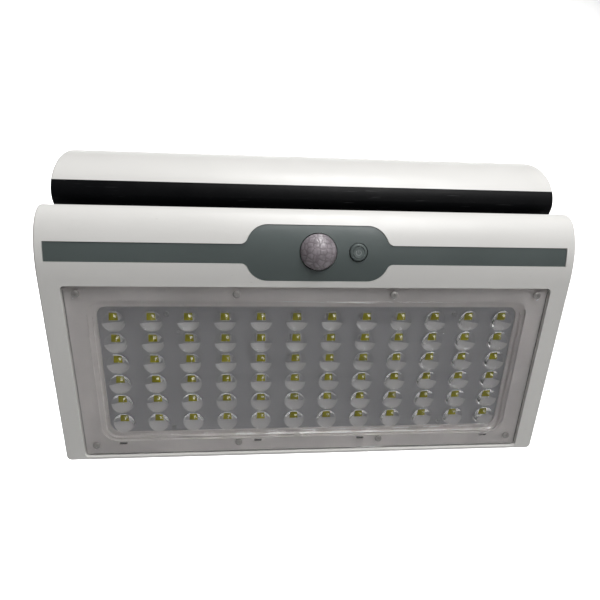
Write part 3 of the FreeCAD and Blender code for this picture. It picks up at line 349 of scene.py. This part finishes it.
def button_material():
    shader = Shader("button_grey", (0.115, 0.138, 0.134), 0.36)
    return shader.blotches(60, 0.08).grain(2600, 0.00004, 0.35).material


def icon_material():
    shader = Shader("icon_print", (0.34, 0.37, 0.365), 0.5)
    return shader.blotches(300, 0.2).grain(4000, 0.00002).material


def clear_material():
    shader = Shader("clear_cover", (0.985, 0.98, 0.985), 0.04, IOR=1.49, Transmission_Weight=1.0)
    shader.roughen(25, 0.03, 0.075)
    return shader.grain(300, 0.00003, 0.12).material


def silicone_material():
    shader = Shader("clear_silicone", (0.96, 0.92, 0.9), 0.55)
    return shader.blotches(30, 0.12).grain(900, 0.00006).material


def rubber_material():
    shader = Shader("seal_rubber", (0.018, 0.018, 0.019), 0.7)
    return shader.blotches(50, 0.3).grain(1500, 0.0001).material


def metal_material(name, color, roughness, stretch=(60, 60, 60)):
    shader = Shader(name, color, roughness, Metallic=1.0)
    streak = shader.noise(30, 4.0, shader.stretched(stretch))
    shader.link(shader.ranged(streak, 0.3, 0.7, roughness * 0.7, roughness * 1.5),
                shader.bsdf.inputs["Roughness"])
    shader.blotches(120, 0.18)
    return shader.bump(streak, 0.00003, 0.35).material


def board_material():
    """White solder mask with faint copper pours under it."""
    shader = Shader("board_white", (0.58, 0.58, 0.595), 0.42)
    pours = shader.node("ShaderNodeTexBrick", Scale=48.0)
    pours.inputs["Mortar Size"].default_value = 0.012
    shader.link(shader.stretched((1, 0.34, 1.4)), pours.inputs["Vector"])
    shader.tint(shader.ranged(pours.outputs["Fac"], 0, 1, 0, 0.25), (0.45, 0.46, 0.47))
    return shader.blotches(25, 0.06).grain(1200, 0.00004).material


def phosphor_material():
    shader = Shader("led_phosphor", (0.5, 0.45, 0.012), 0.4)
    return shader.blotches(500, 0.3).grain(2500, 0.00004).material


def painted_glint_material():
    # painted light: near-white colour of the patches where the lenses focus light on the board
    shader = Shader("painted_glint_film", (0.95, 0.94, 0.93), 0.3)
    return shader.blotches(60, 0.04).grain(1500, 0.00003).material


def package_material():
    shader = Shader("led_package", (0.72, 0.72, 0.68), 0.35)
    return shader.blotches(400, 0.1).grain(2500, 0.00003).material


def pir_material():
    """Milky polyethylene; colour darkened along the borders between irregular cells, painted shade for the creases
    between lenslets.
    """
    shader = Shader("pir_white", (0.6, 0.545, 0.58), 0.24, IOR=1.5, Transmission_Weight=0.45)
    shader.blotches(250, 0.3)
    cells = shader.node("ShaderNodeTexVoronoi", feature="DISTANCE_TO_EDGE",
                        Scale=300.0, Randomness=0.8)
    shader.link(shader.place, cells.inputs["Vector"])
    edge = cells.outputs["Distance"]
    # painted shade: colour darkens towards the cell borders
    shader.tint(shader.ranged(edge, 0.02, 0.14, 0.6, 0), (0.26, 0.21, 0.24))
    return shader.bump(shader.ranged(edge, 0.0, 0.25, 0, 1), 0.0003, 0.35).material


def panel_glass_material():
    shader = Shader("panel_glass", (0.93, 0.95, 0.96), 0.08, IOR=1.5, Transmission_Weight=1.0)
    shader.roughen(40, 0.05, 0.12)
    return shader.grain(1100, 0.00005, 0.3).material


def cell_material():
    """Dark silicon with fine silver fingers across each cell."""
    shader = Shader("solar_cell", (0.008, 0.012, 0.035), 0.22, Coat_Weight=0.5)
    shader.blotches(18, 0.35)
    lines = shader.node("ShaderNodeTexWave", Scale=105.0, Distortion=0.0)
    lines.bands_direction = "Y"
    shader.link(shader.place, lines.inputs["Vector"])
    shader.tint(shader.ranged(lines.outputs["Fac"], 0.93, 0.99, 0, 0.75), (0.35, 0.36, 0.38))
    return shader.grain(900, 0.00003, 0.2).material


def backsheet_material():
    shader = Shader("backsheet_white", (0.55, 0.56, 0.57), 0.5)
    return shader.blotches(40, 0.08).grain(1000, 0.00005).material


def bracket_material():
    """Black powder coat, worn to grey along random rubs."""
    shader = Shader("bracket_paint", (0.014, 0.014, 0.0145), 0.46, Coat_Weight=0.15)
    shader.blotches(20, 0.25).roughen(90, 0.38, 0.56)
    shader.scuffs((90, 90, 700), 2, 0.72, 0.80, (0.09, 0.088, 0.085), (0.2, 0.5, 0.1))
    return shader.grain(900, 0.00014, 0.6).material


def simple_plastic(name, color, roughness=0.45):
    shader = Shader(name, color, roughness)
    shader.blotches(40, 0.12).roughen(120, roughness * 0.85, roughness * 1.15)
    return shader.grain(1500, 0.00005).material


MATERIALS = {
    "white_shell": white_shell_material(),
    "black_shell": black_shell_material(),
    "trim_grey": trim_material(),
    "button_grey": button_material(),
    "icon_print": icon_material(),
    "clear_cover": clear_material(),
    "clear_silicone": silicone_material(),
    "seal_rubber": rubber_material(),
    "vent_plastic": simple_plastic("vent_plastic", (0.03, 0.03, 0.032)),
    "screw_steel": metal_material("screw_steel", (0.55, 0.55, 0.56), 0.3),
    "lens_screw_steel": metal_material("lens_screw_steel", (0.62, 0.6, 0.585), 0.5),
    "can_metal": metal_material("can_metal", (0.6, 0.6, 0.61), 0.25),
    "zinc_steel": metal_material("zinc_steel", (0.58, 0.58, 0.6), 0.34, (300, 20, 20)),
    "nickel": metal_material("nickel", (0.62, 0.6, 0.55), 0.28),
    "capacitor_can": metal_material("capacitor_can", (0.12, 0.13, 0.2), 0.4),
    "battery_wrap": simple_plastic("battery_wrap", (0.04, 0.18, 0.42), 0.3),
    "board_white": board_material(),
    "board_green": simple_plastic("board_green", (0.015, 0.12, 0.045), 0.35),
    "connector_white": simple_plastic("connector_white", (0.7, 0.68, 0.6)),
    "painted_glint_film": painted_glint_material(),
    "led_yellow": phosphor_material(),
    "led_package": package_material(),
    "pir_white": pir_material(),
    "dark_window": simple_plastic("dark_window", (0.02, 0.018, 0.022), 0.15),
    "switch_black": simple_plastic("switch_black", (0.02, 0.02, 0.02)),
    "panel_glass": panel_glass_material(),
    "solar_cell": cell_material(),
    "backsheet_white": backsheet_material(),
    "holder_black": simple_plastic("holder_black", (0.02, 0.02, 0.021)),
    "ferrite": simple_plastic("ferrite", (0.05, 0.05, 0.052), 0.6),
    "bracket_paint": bracket_material(),
    "fibre_washer": simple_plastic("fibre_washer", (0.16, 0.1, 0.06), 0.7),
}


def dress_cad_nodes():
    """Give every carried-over CAD node the detailed material of its record slot."""
    for part in frame["record"]["subparts"]:
        node = NODES[part["node"]]
        node.data.materials.clear()
        node.data.materials.append(MATERIALS[part["material_slot"]])


# ---------------------------------------------------------------- mesh building
def closed_mesh(bm, name):
    bmesh.ops.remove_doubles(bm, verts=bm.verts, dist=1e-5)
    bmesh.ops.recalc_face_normals(bm, faces=bm.faces)
    mesh = bpy.data.meshes.new(name)
    bm.to_mesh(mesh)
    bm.free()
    return mesh


def carved(mesh, cutter_bm):
    """The mesh with the cutter's shapes taken out of it."""
    solid = bpy.data.objects.new("carved", mesh)
    cutter = bpy.data.objects.new("cutter", closed_mesh(cutter_bm, "cutter"))
    for item in (solid, cutter):
        bpy.context.scene.collection.objects.link(item)
    cut = solid.modifiers.new("cut", "BOOLEAN")
    cut.operation = "DIFFERENCE"
    cut.object = cutter
    ready = solid.evaluated_get(bpy.context.evaluated_depsgraph_get())
    result = bpy.data.meshes.new_from_object(ready)
    for item in (solid, cutter):
        bpy.data.objects.remove(item)
    return result


def finish_mesh(bm, name, body, materials, matrix, sharp=35.0, cutter=None):
    """Turn a bmesh in local millimetres into a piece that rides on a body."""
    mesh = closed_mesh(bm, name)
    if cutter:
        mesh = carved(mesh, cutter)
        mesh.name = name
    mesh.transform(matrix)
    for item in materials:
        mesh.materials.append(MATERIALS[item])
    mesh.shade_smooth()
    mesh.set_sharp_from_angle(angle=math.radians(sharp))
    piece = bpy.data.objects.new(name, mesh)
    bpy.context.scene.collection.objects.link(piece)
    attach(piece, body)
    return piece


def round_point(x, y, radius, angle, depth):
    return Vector((x + radius * math.cos(angle), y + radius * math.sin(angle), depth))


def grown(area, by):
    """Half width, top and bottom of a rectangle, moved outwards."""
    half, top, bottom = area
    return half + by, top - by, bottom + by


def rounded_loop(half, top, bottom, radius, depth, steps=12):
    """Closed loop of a rounded rectangle centred on X."""
    points = []
    corners = ((half - radius, top + radius, -90), (half - radius, bottom - radius, 0),
               (radius - half, bottom - radius, 90), (radius - half, top + radius, 180))
    for x, y, start in corners:
        for step in range(steps + 1):
            points.append(round_point(x, y, radius, math.radians(start + 90 * step / steps), depth))
    return points


def circle_loop(x, y, radius, depth, count, start=0.0):
    return [round_point(x, y, radius, start + 2 * math.pi * index / count, depth)
            for index in range(count)]


def loft(bm, loops, cap_start=False, cap_end=False, material=0):
    """Skin between loops of equal count."""
    rows = [[bm.verts.new(point) for point in loop] for loop in loops]
    for first, second in zip(rows, rows[1:]):
        for index in range(len(first)):
            after = (index + 1) % len(first)
            face = bm.faces.new((first[index], first[after], second[after], second[index]))
            face.material_index = material
    if cap_start:
        bm.faces.new(rows[0]).material_index = material
    if cap_end:
        bm.faces.new(rows[-1][::-1]).material_index = material


def lathe(bm, x, y, profile, count=48, material=0):
    """Closed turned shape from (radius, depth) points, on an axis along depth."""
    loops = [circle_loop(x, y, radius, depth, count) for radius, depth in profile]
    loft(bm, loops, True, True, material)


def bevelled_box(bm, x0, x1, y0, y1, z0, z1, bevel, material=0):
    """Box whose z0 face has bevelled edges; used for small flat parts."""
    loops = []
    for inset, depth in ((bevel, z0), (0, z0 + bevel), (0, z1)):
        left, right, upper, lower = x0 + inset, x1 - inset, y0 + inset, y1 - inset
        corners = ((left, upper), (right, upper), (right, lower), (left, lower))
        loops.append([Vector((x, y, depth)) for x, y in corners])
    loft(bm, loops, True, True, material)


# ---------------------------------------------------------------- clear cover with domes
LENSES = [(row, column) for row in range(ROWS) for column in range(COLUMNS)]


def lens_centre(row, column):
    return (column - (COLUMNS - 1) / 2) * COLUMN_PITCH, FIRST_ROW + row * ROW_PITCH


def clamp_corner(x, y, half, top, bottom, radius):
    """Pull a point outside the rounded corner back onto its arc."""
    cx = max(abs(x) - (half - radius), 0) * (1 if x > 0 else -1)
    cy = 0.0
    if y < top + radius:
        cy = y - (top + radius)
    elif y > bottom - radius:
        cy = y - (bottom - radius)
    reach = math.hypot(cx, cy)
    if cx and cy and reach > radius:
        return x - cx + cx * radius / reach, y - cy + cy * radius / reach
    return x, y


def cell_border(row, column, area):
    """Points round one lens cell, in the order of the rings of its dome."""
    half, top, bottom, radius = area
    x, y = lens_centre(row, column)
    side_steps = DOME_SIDES // 4
    left = -half if column == 0 else x - COLUMN_PITCH / 2
    right = half if column == COLUMNS - 1 else x + COLUMN_PITCH / 2
    upper = top if row == 0 else y - ROW_PITCH / 2
    lower = bottom if row == ROWS - 1 else y + ROW_PITCH / 2
    corners = [(left, upper), (right, upper), (right, lower), (left, lower)]
    points = []
    for index in range(4):
        x0, y0 = corners[index]
        x1, y1 = corners[(index + 1) % 4]
        for step in range(side_steps):
            share = step / side_steps
            px, py = clamp_corner(x0 + (x1 - x0) * share, y0 + (y1 - y0) * share,
                                  half, top, bottom, radius)
            points.append(Vector((px, py, FLOOR_FACE)))
    return points


def dome_loops(x, y):
    """Rings of the spherical lens from its foot almost to its crown."""
    sphere = (DOME_RADIUS ** 2 + DOME_HEIGHT ** 2) / (2 * DOME_HEIGHT)
    centre = FLOOR_FACE - DOME_HEIGHT + sphere
    foot = math.asin(DOME_RADIUS / sphere)
    loops = [circle_loop(x, y, DOME_RADIUS + DOME_FLARE, FLOOR_FACE, DOME_SIDES, DOME_START)]
    for ring in range(DOME_RINGS):
        angle = foot * (1 - ring / DOME_RINGS)
        loops.append(circle_loop(x, y, sphere * math.sin(angle), centre - sphere * math.cos(angle),
                                 DOME_SIDES, DOME_START))
    return loops


def cover_profile():
    """Half width, top, bottom, radius and depth, from the pocket's floor over the rim and under."""
    rim = (RIM_HALF, RIM_TOP, RIM_BOTTOM)
    pocket = grown(rim, -RIM_WIDTH)
    flange = grown((RECESS_HALF, RECESS_TOP, RECESS_BOTTOM), -COVER_GAP)
    wetted = grown(rim, WETTED)
    return [
        (*grown(pocket, -0.4), 6.1, FLOOR_FACE),
        (*grown(pocket, -0.1), 6.4, FLOOR_FACE - 0.3),
        (*grown(pocket, 0.3), 6.8, 0.95),
        (*grown(pocket, 0.65), 7.2, RIM_FACE),
        (*grown(rim, -0.35), RIM_RADIUS - 0.35, RIM_FACE),
        (*rim, RIM_RADIUS, 0.85),
        (*grown(rim, 0.15), RIM_RADIUS, COVER_FACE),
        (*grown(flange, -FLANGE_BEVEL), 2.0, COVER_FACE),
        (*flange, FLANGE_RADIUS, COVER_FACE + FLANGE_BEVEL),
        (*flange, FLANGE_RADIUS, COVER_BACK + WETTED),
        (*wetted, RIM_RADIUS, COVER_BACK + WETTED),
        (*wetted, RIM_RADIUS, FLOOR_BACK + WETTED),
    ]


def clear_cover():
    """Flange, rim and tray with a dome over every diode, pierced for its screws and slots."""
    bm = bmesh.new()
    loft(bm, [rounded_loop(*line) for line in cover_profile()], cap_end=True)
    half, top, bottom = grown((RIM_HALF, RIM_TOP, RIM_BOTTOM), -RIM_WIDTH)
    side_inset, top_inset, bottom_inset = AREA_INSETS
    area = (half - side_inset, top + top_inset, bottom - bottom_inset, AREA_RADIUS)
    for row, column in LENSES:
        loops = [cell_border(row, column, area)] + dome_loops(*lens_centre(row, column))
        loft(bm, loops, cap_end=True)
    bmesh.ops.remove_doubles(bm, verts=bm.verts, dist=1e-4)
    rim = [edge for edge in bm.edges if edge.is_boundary]
    bmesh.ops.triangle_fill(bm, use_beauty=True, edges=rim)
    piece = finish_mesh(bm, "clear_cover", "lamp_leaf", ["clear_cover"], LAMP,
                        sharp=40, cutter=flange_cutter())
    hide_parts("lens_cover")


def flange_cutter():
    """Counterbored screw holes and locating slots of the flange."""
    bm = bmesh.new()
    mouth, bore, hole = 2.9, 2.5, 1.3
    profile = [(mouth, 0.0), (mouth, COVER_FACE), (bore, COVER_FACE + 0.35), (bore, SCREW_SEAT),
               (hole, SCREW_SEAT), (hole, CUT_DEPTH)]
    for y in SCREW_ROWS:
        for x in SCREW_COLUMNS:
            lathe(bm, x, y, profile, SMALL_SIDES)
    for x in SLOT_COLUMNS:
        loft(bm, [rounded_slot(x, *SLOT_HALF, depth) for depth in (0.0, CUT_DEPTH)], True, True)
    return bm


def rounded_slot(x, half_length, half_width, depth):
    """Outline of a slot with round ends, in the row of the flange's slots."""
    points = []
    offset = half_length - half_width
    for side, start in ((1, -90), (-1, 90)):
        for step in range(7):
            points.append(round_point(x + side * offset, SLOT_ROW, half_width,
                                      math.radians(start + 30 * step), depth))
    return points


def mould_rings():
    """Witness rings of two ejector pins, standing on the tray floor."""
    bm = bmesh.new()
    section = ((1.15, 0.0), (1.2, 0.2), (1.35, 0.25), (1.5, 0.2), (1.55, 0.0), (1.35, -0.1))
    for x, y in MOULD_RINGS:
        loops = [circle_loop(x, y, radius, FLOOR_FACE - rise, SMALL_SIDES) for radius, rise in section]
        loft(bm, loops + loops[:1])
    finish_mesh(bm, "mould_rings", "lamp_leaf", ["clear_cover"], LAMP)


def cross_loop(x, y, reach, half, depth):
    """Outline of a cross-head recess."""
    points = []
    for turn in range(4):
        angle = math.radians(90 * turn)
        for u, v in ((reach, -half), (reach, half), (half, half)):
            points.append(Vector((x + u * math.cos(angle) - v * math.sin(angle),
                                  y + u * math.sin(angle) + v * math.cos(angle), depth)))
    return points


def cover_screws():
    """Small cross-head screws; their heads stand in shallow counterbores."""
    bm = bmesh.new()
    recesses = bmesh.new()
    top = SCREW_SEAT - SCREW_HEAD
    head, shank, end = 2.2, 1.0, 6.3
    profile = [(0.5, top), (1.6, top + 0.08), (2.05, top + 0.35), (head, top + 0.7),
               (head, SCREW_SEAT), (shank, SCREW_SEAT + 0.05), (shank, end)]
    tapers = ((1.25, top - 0.2), (0.75, top + 0.6))
    for y in SCREW_ROWS:
        for x in SCREW_COLUMNS:
            lathe(bm, x, y, profile, SMALL_SIDES)
            loops = [cross_loop(x, y, reach, CROSS_HALF, depth) for reach, depth in tapers]
            loft(recesses, loops, True, True)
    piece = finish_mesh(bm, "cover_screws", "lamp_leaf",
                        ["lens_screw_steel"], LAMP, cutter=recesses)
    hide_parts("lens_screws")


def slot_shade_pegs():
    """Dark rubber pegs in the flange's locating slots: painted shade, standing for the dark inside of the slots.
    """
    bm = bmesh.new()
    half_length, half_width = PEG_HALF
    rings = ((PEG_BEVEL, PEG_FACE), (0.0, PEG_FACE + PEG_BEVEL), (0.0, PEG_BACK))
    for x in SLOT_COLUMNS:
        loops = [rounded_slot(x, half_length - inset, half_width - inset, depth)
                 for inset, depth in rings]
        loft(bm, loops, True, True)
    finish_mesh(bm, "slot_shade_pegs", "lamp_leaf", ["seal_rubber"], LAMP)


def diodes():
    """White packages with a square yellow phosphor window, pressed against the cover."""
    bm = bmesh.new()
    face = BOARD_FACE - LED_DEEP
    half = LED_SIZE / 2
    window = half - LED_BORDER
    for lens in LENSES:
        x, lens_y = lens_centre(*lens)
        y = lens_y + LED_OFFSET
        bevelled_box(bm, x - half, x + half, y - half, y + half,
                     face + 0.01, BOARD_FACE, bevel=0.08, material=0)
        bevelled_box(bm, x - window, x + window, y - window, y + window,
                     face, face + LED_WINDOW_DEEP, bevel=0.005, material=1)
    piece = finish_mesh(bm, "diodes", "lamp_leaf",
                        ["led_package", "led_yellow"], LAMP)
    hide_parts("led_packages")


def painted_glint_films():
    """White film on the board under the lower half of each lens: painted light, standing for the light that each
    lens focuses there.
    """
    bm = bmesh.new()
    steps = 12
    start, sweep = FILM_ARC
    for lens in LENSES:
        x, y = lens_centre(*lens)
        outline = []
        for step in range(steps + 1):
            angle = math.radians(start + sweep * step / steps)
            outline.append((x + FILM_RADIUS * math.cos(angle),
                            y + FILM_DROP + FILM_RADIUS * math.sin(angle)))
        for step in range(1, steps):
            share = 2 * step / steps - 1
            outline.append((x + FILM_EDGE_HALF * share,
                            y + FILM_EDGE_DROP - FILM_EDGE_BOW * (1 - share * share)))
        loops = [[Vector((px, py, depth)) for px, py in outline]
                 for depth in FILM_DEPTHS]
        loft(bm, loops, True, True)
    finish_mesh(bm, "painted_glint_films", "lamp_leaf", ["painted_glint_film"], LAMP)


# ---------------------------------------------------------------- pod: sensor dome and button
def hex_ridge(x, y):
    """1 on the border of a honeycomb cell, falling to 0 towards its middle."""
    best = []
    pitch = LENSLET_PITCH
    height = pitch * math.sqrt(3) / 2
    row = round(y / height)
    for r in (row - 1, row, row + 1):
        shift = pitch / 2 if r % 2 else 0.0
        column = round((x - shift) / pitch)
        for c in (column - 1, column, column + 1):
            best.append(math.hypot(x - c * pitch - shift, y - r * height))
    best.sort()
    gap = (best[1] - best[0]) / pitch
    return max(0.0, 1 - gap / LENSLET_RIDGE)


def dome_skin(radius, top, foot_radius, facet, rings=46):
    """Rings of one face of the sensor dome, from its foot to its crown."""
    sphere = (PIR_RADIUS ** 2 + PIR_HEIGHT ** 2) / (2 * PIR_HEIGHT) - (PIR_RADIUS - radius)
    centre = top + sphere
    foot = math.asin(min(0.999, (foot_radius - 0.02) / sphere))
    loops = []
    for ring in range(rings):
        angle = foot * (1 - ring / rings)
        loop = []
        for point in circle_loop(0, 0, sphere * math.sin(angle), 0, PIR_SIDES):
            inside = PIR_RADIUS - LENSLET_MARGIN - math.hypot(point.x, point.y)
            fade = inside / LENSLET_FADE
            sink = facet * hex_ridge(point.x, point.y) * max(0.0, min(1.0, fade))
            reach = (sphere - sink) / sphere
            loop.append(Vector((point.x * reach, point.y * reach,
                                centre - (sphere - sink) * math.cos(angle))))
        loops.append(loop)
    return loops


def sensor_dome():
    """Hollow domed window with a honeycomb of lenslets, deep inside and faint outside."""
    bm = bmesh.new()
    top = -PIR_HEIGHT - PIR_CROWN
    inner_radius = PIR_RADIUS - PIR_SKIN
    outside = [circle_loop(0, 0, PIR_RADIUS, PIR_FOOT, PIR_SIDES)]
    outside += dome_skin(PIR_RADIUS, top, PIR_RADIUS, OUTER_FACET)
    inside = [circle_loop(0, 0, inner_radius, PIR_FOOT, PIR_SIDES)]
    inside += dome_skin(inner_radius, top + PIR_SKIN, inner_radius, INNER_FACET)
    loft(bm, inside[::-1] + outside, cap_start=True, cap_end=True)
    piece = finish_mesh(bm, "sensor_dome", "lamp_leaf", ["pir_white"], POD,
                        sharp=60)
    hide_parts("pir_lens")


def power_cap():
    """Button cap with a dished face inside a ring groove."""
    bm = bmesh.new()
    top = BUTTON_TOP
    dish = [(0.3, top + 0.10), (2.5, top + 0.05), (2.95, top)]
    groove = [(3.1, top + 0.4), (3.4, top + 0.4), (3.55, top)]
    side = [(4.25, top), (4.5, top + 0.12), (4.95, top + 1.0), (5.0, top + 1.25), (5.0, 3.6)]
    collar = [(6.3, 3.65), (6.3, 4.4)]
    stem = [(1.6, 4.4), (1.6, 6.9)]
    profile = dish + groove + side + collar + stem
    lathe(bm, BUTTON_X, 0, profile, BUTTON_SIDES)
    piece = finish_mesh(bm, "power_cap", "power_key", ["button_grey"], POD)
    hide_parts("power_button")


def power_icon():
    """Printed on-off symbol: a broken ring and a bar, a thin film on the button."""
    bm = bmesh.new()
    steps = 28
    gap = math.radians(ICON_GAP)
    inner, outer = ICON_RADII
    centre = Vector((BUTTON_X, ICON_CENTRE, 0))
    loops = []
    for step in range(steps + 1):
        angle = -math.pi / 2 + gap + (2 * math.pi - 2 * gap) * step / steps
        along = Vector((math.cos(angle), math.sin(angle), 0))
        section = ((inner, ICON_BACK), (inner, ICON_FACE), (outer, ICON_FACE), (outer, ICON_BACK))
        loops.append([centre + along * radius + Vector((0, 0, depth)) for radius, depth in section])
    loft(bm, loops, True, True)
    low, high = ICON_BAR
    bevelled_box(bm, BUTTON_X - ICON_BAR_HALF, BUTTON_X + ICON_BAR_HALF, low, high,
                 ICON_FACE, ICON_BACK, bevel=0.02)
    finish_mesh(bm, "power_icon", "power_key", ["icon_print"], POD)


# ---------------------------------------------------------------- solar cells
def solar_strips():
    """Cell strips with cut corners, and the flat ribbons that join them."""
    bm = bmesh.new()
    wide = (CELL_SPAN - (CELL_COUNT - 1) * CELL_GAP) / CELL_COUNT
    cut = CELL_CORNER
    for index in range(CELL_COUNT):
        left = -CELL_SPAN / 2 + index * (wide + CELL_GAP)
        right = left + wide
        outline = [(left + cut, CELL_TOP), (right - cut, CELL_TOP),
                   (right, CELL_TOP + cut), (right, CELL_BOTTOM - cut),
                   (right - cut, CELL_BOTTOM), (left + cut, CELL_BOTTOM),
                   (left, CELL_BOTTOM - cut), (left, CELL_TOP + cut)]
        loops = [[Vector((x, y, depth)) for x, y in outline]
                 for depth in STRIP_DEPTHS]
        loft(bm, loops, True, True)
    piece = finish_mesh(bm, "solar_strips", "solar_leaf", ["solar_cell"], SOLAR)
    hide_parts("panel_cells")
    ribbons = bmesh.new()
    half = CELL_SPAN / 2
    for share in RIBBON_SHARES:
        y = CELL_TOP + (CELL_BOTTOM - CELL_TOP) * share
        bevelled_box(ribbons, -half - RIBBON_OVERHANG, half + RIBBON_OVERHANG,
                     y - RIBBON_HALF, y + RIBBON_HALF,
                     *RIBBON_DEPTHS, bevel=0.01)
    finish_mesh(ribbons, "cell_ribbons", "solar_leaf", ["nickel"], SOLAR)


# ---------------------------------------------------------------- stage, lights and camera
def studio_sweep():
    """Pale floor that sweeps up behind the object."""
    bm = bmesh.new()
    low, high = CAD_BOX
    floor = low.z - SWEEP_DROP
    back = high.y + SWEEP_BEHIND
    line = [Vector((0, SWEEP_FRONT, floor)), Vector((0, back, floor))]
    for step in range(1, SWEEP_STEPS + 1):
        angle = math.pi / 2 * step / SWEEP_STEPS
        line.append(Vector((0, back + SWEEP_RADIUS * math.sin(angle),
                            floor + SWEEP_RADIUS * (1 - math.cos(angle)))))
    line.append(Vector((0, back + SWEEP_RADIUS, floor + SWEEP_HEIGHT)))
    rows = []
    for point in line:
        rows.append([bm.verts.new(point + Vector((x, 0, 0))) for x in (-SWEEP_HALF, SWEEP_HALF)])
    for first, second in zip(rows, rows[1:]):
        bm.faces.new((first[0], first[1], second[1], second[0]))
    mesh = bpy.data.meshes.new("studio_sweep")
    bm.to_mesh(mesh)
    bm.free()
    mesh.shade_smooth()
    shader = Shader("studio_paper", (0.6, 0.6, 0.6), 0.9)
    mesh.materials.append(shader.grain(60, 0.0002, 0.2).material)
    sweep = bpy.data.objects.new("studio_sweep", mesh)
    bpy.context.scene.collection.objects.link(sweep)


def area_light(name, place, target, size, power):
    data = bpy.data.lights.new(name, "AREA")
    data.shape = "RECTANGLE"
    data.size, data.size_y = size
    data.energy = power
    light = bpy.data.objects.new(name, data)
    light.location = place
    light.rotation_euler = (Vector(target) - Vector(place)).to_track_quat("-Z", "Y").to_euler()
    bpy.context.scene.collection.objects.link(light)


def studio_world():
    """Surroundings that the camera sees as white but that light the object only dimly."""
    world = bpy.data.worlds.new("studio")
    world.use_nodes = True
    nodes = world.node_tree.nodes
    links = world.node_tree.links
    dim = nodes["Background"]
    dim.inputs["Color"].default_value = (1.0, 0.99, 0.98, 1)
    dim.inputs["Strength"].default_value = LIGHTING_STRENGTH
    bright = nodes.new("ShaderNodeBackground")
    bright.inputs["Strength"].default_value = BACKDROP_STRENGTH
    mix = nodes.new("ShaderNodeMixShader")
    links.new(nodes.new("ShaderNodeLightPath").outputs["Is Camera Ray"], mix.inputs["Fac"])
    links.new(dim.outputs["Background"], mix.inputs[1])
    links.new(bright.outputs["Background"], mix.inputs[2])
    links.new(mix.outputs["Shader"], nodes["World Output"].inputs["Surface"])
    bpy.context.scene.world = world


def lighting():
    """Overhead softbox, a tall narrow window light in front, a soft right fill and paper lights."""
    studio_world()
    middle = (CAD_BOX[0] + CAD_BOX[1]) / 2
    area_light("overhead", middle + Vector((0.3, -0.8, 1.05)), middle, size=(0.6, 1.2), power=19)
    area_light("window", middle + Vector((0.42, -1.7, 0.45)), middle, size=(0.1, 1.6), power=3.4)
    area_light("right_fill", middle + Vector((1.4, -0.9, 0.35)), middle, size=(0.8, 0.8), power=1.6)
    for side in (-1, 1):
        place = middle + Vector((2.2 * side, 1.3, 1.0))
        target = middle + Vector((1.5 * side, 3.9, 0.1))
        area_light("paper_light", place, target, size=(2.5, 2.5), power=340)


def camera():
    """Level camera a little left of the lamp, close enough for strong perspective."""
    data = bpy.data.cameras.new("camera")
    data.sensor_width = CAMERA_SENSOR
    data.lens = CAMERA_LENS
    data.dof.use_dof = False
    eye = bpy.data.objects.new("camera", data)
    recess_edge = LAMP @ Vector((0, RECESS_TOP, 0))
    eye.location = recess_edge + Vector(CAMERA_OFFSET)
    right = Vector(CAMERA_RIGHT).normalized()
    forward = Vector(CAMERA_FORWARD)
    forward = (forward - right * forward.dot(right)).normalized()
    up = right.cross(forward)
    eye.rotation_euler = Matrix((right, up, -forward)).transposed().to_euler()
    bpy.context.scene.collection.objects.link(eye)
    bpy.context.scene.camera = eye


bpy.context.scene.view_settings.view_transform = "Standard"
dress_cad_nodes()
clear_cover()
mould_rings()
cover_screws()
slot_shade_pegs()
diodes()
painted_glint_films()
sensor_dome()
power_cap()
power_icon()
solar_strips()
studio_sweep()
lighting()
camera()
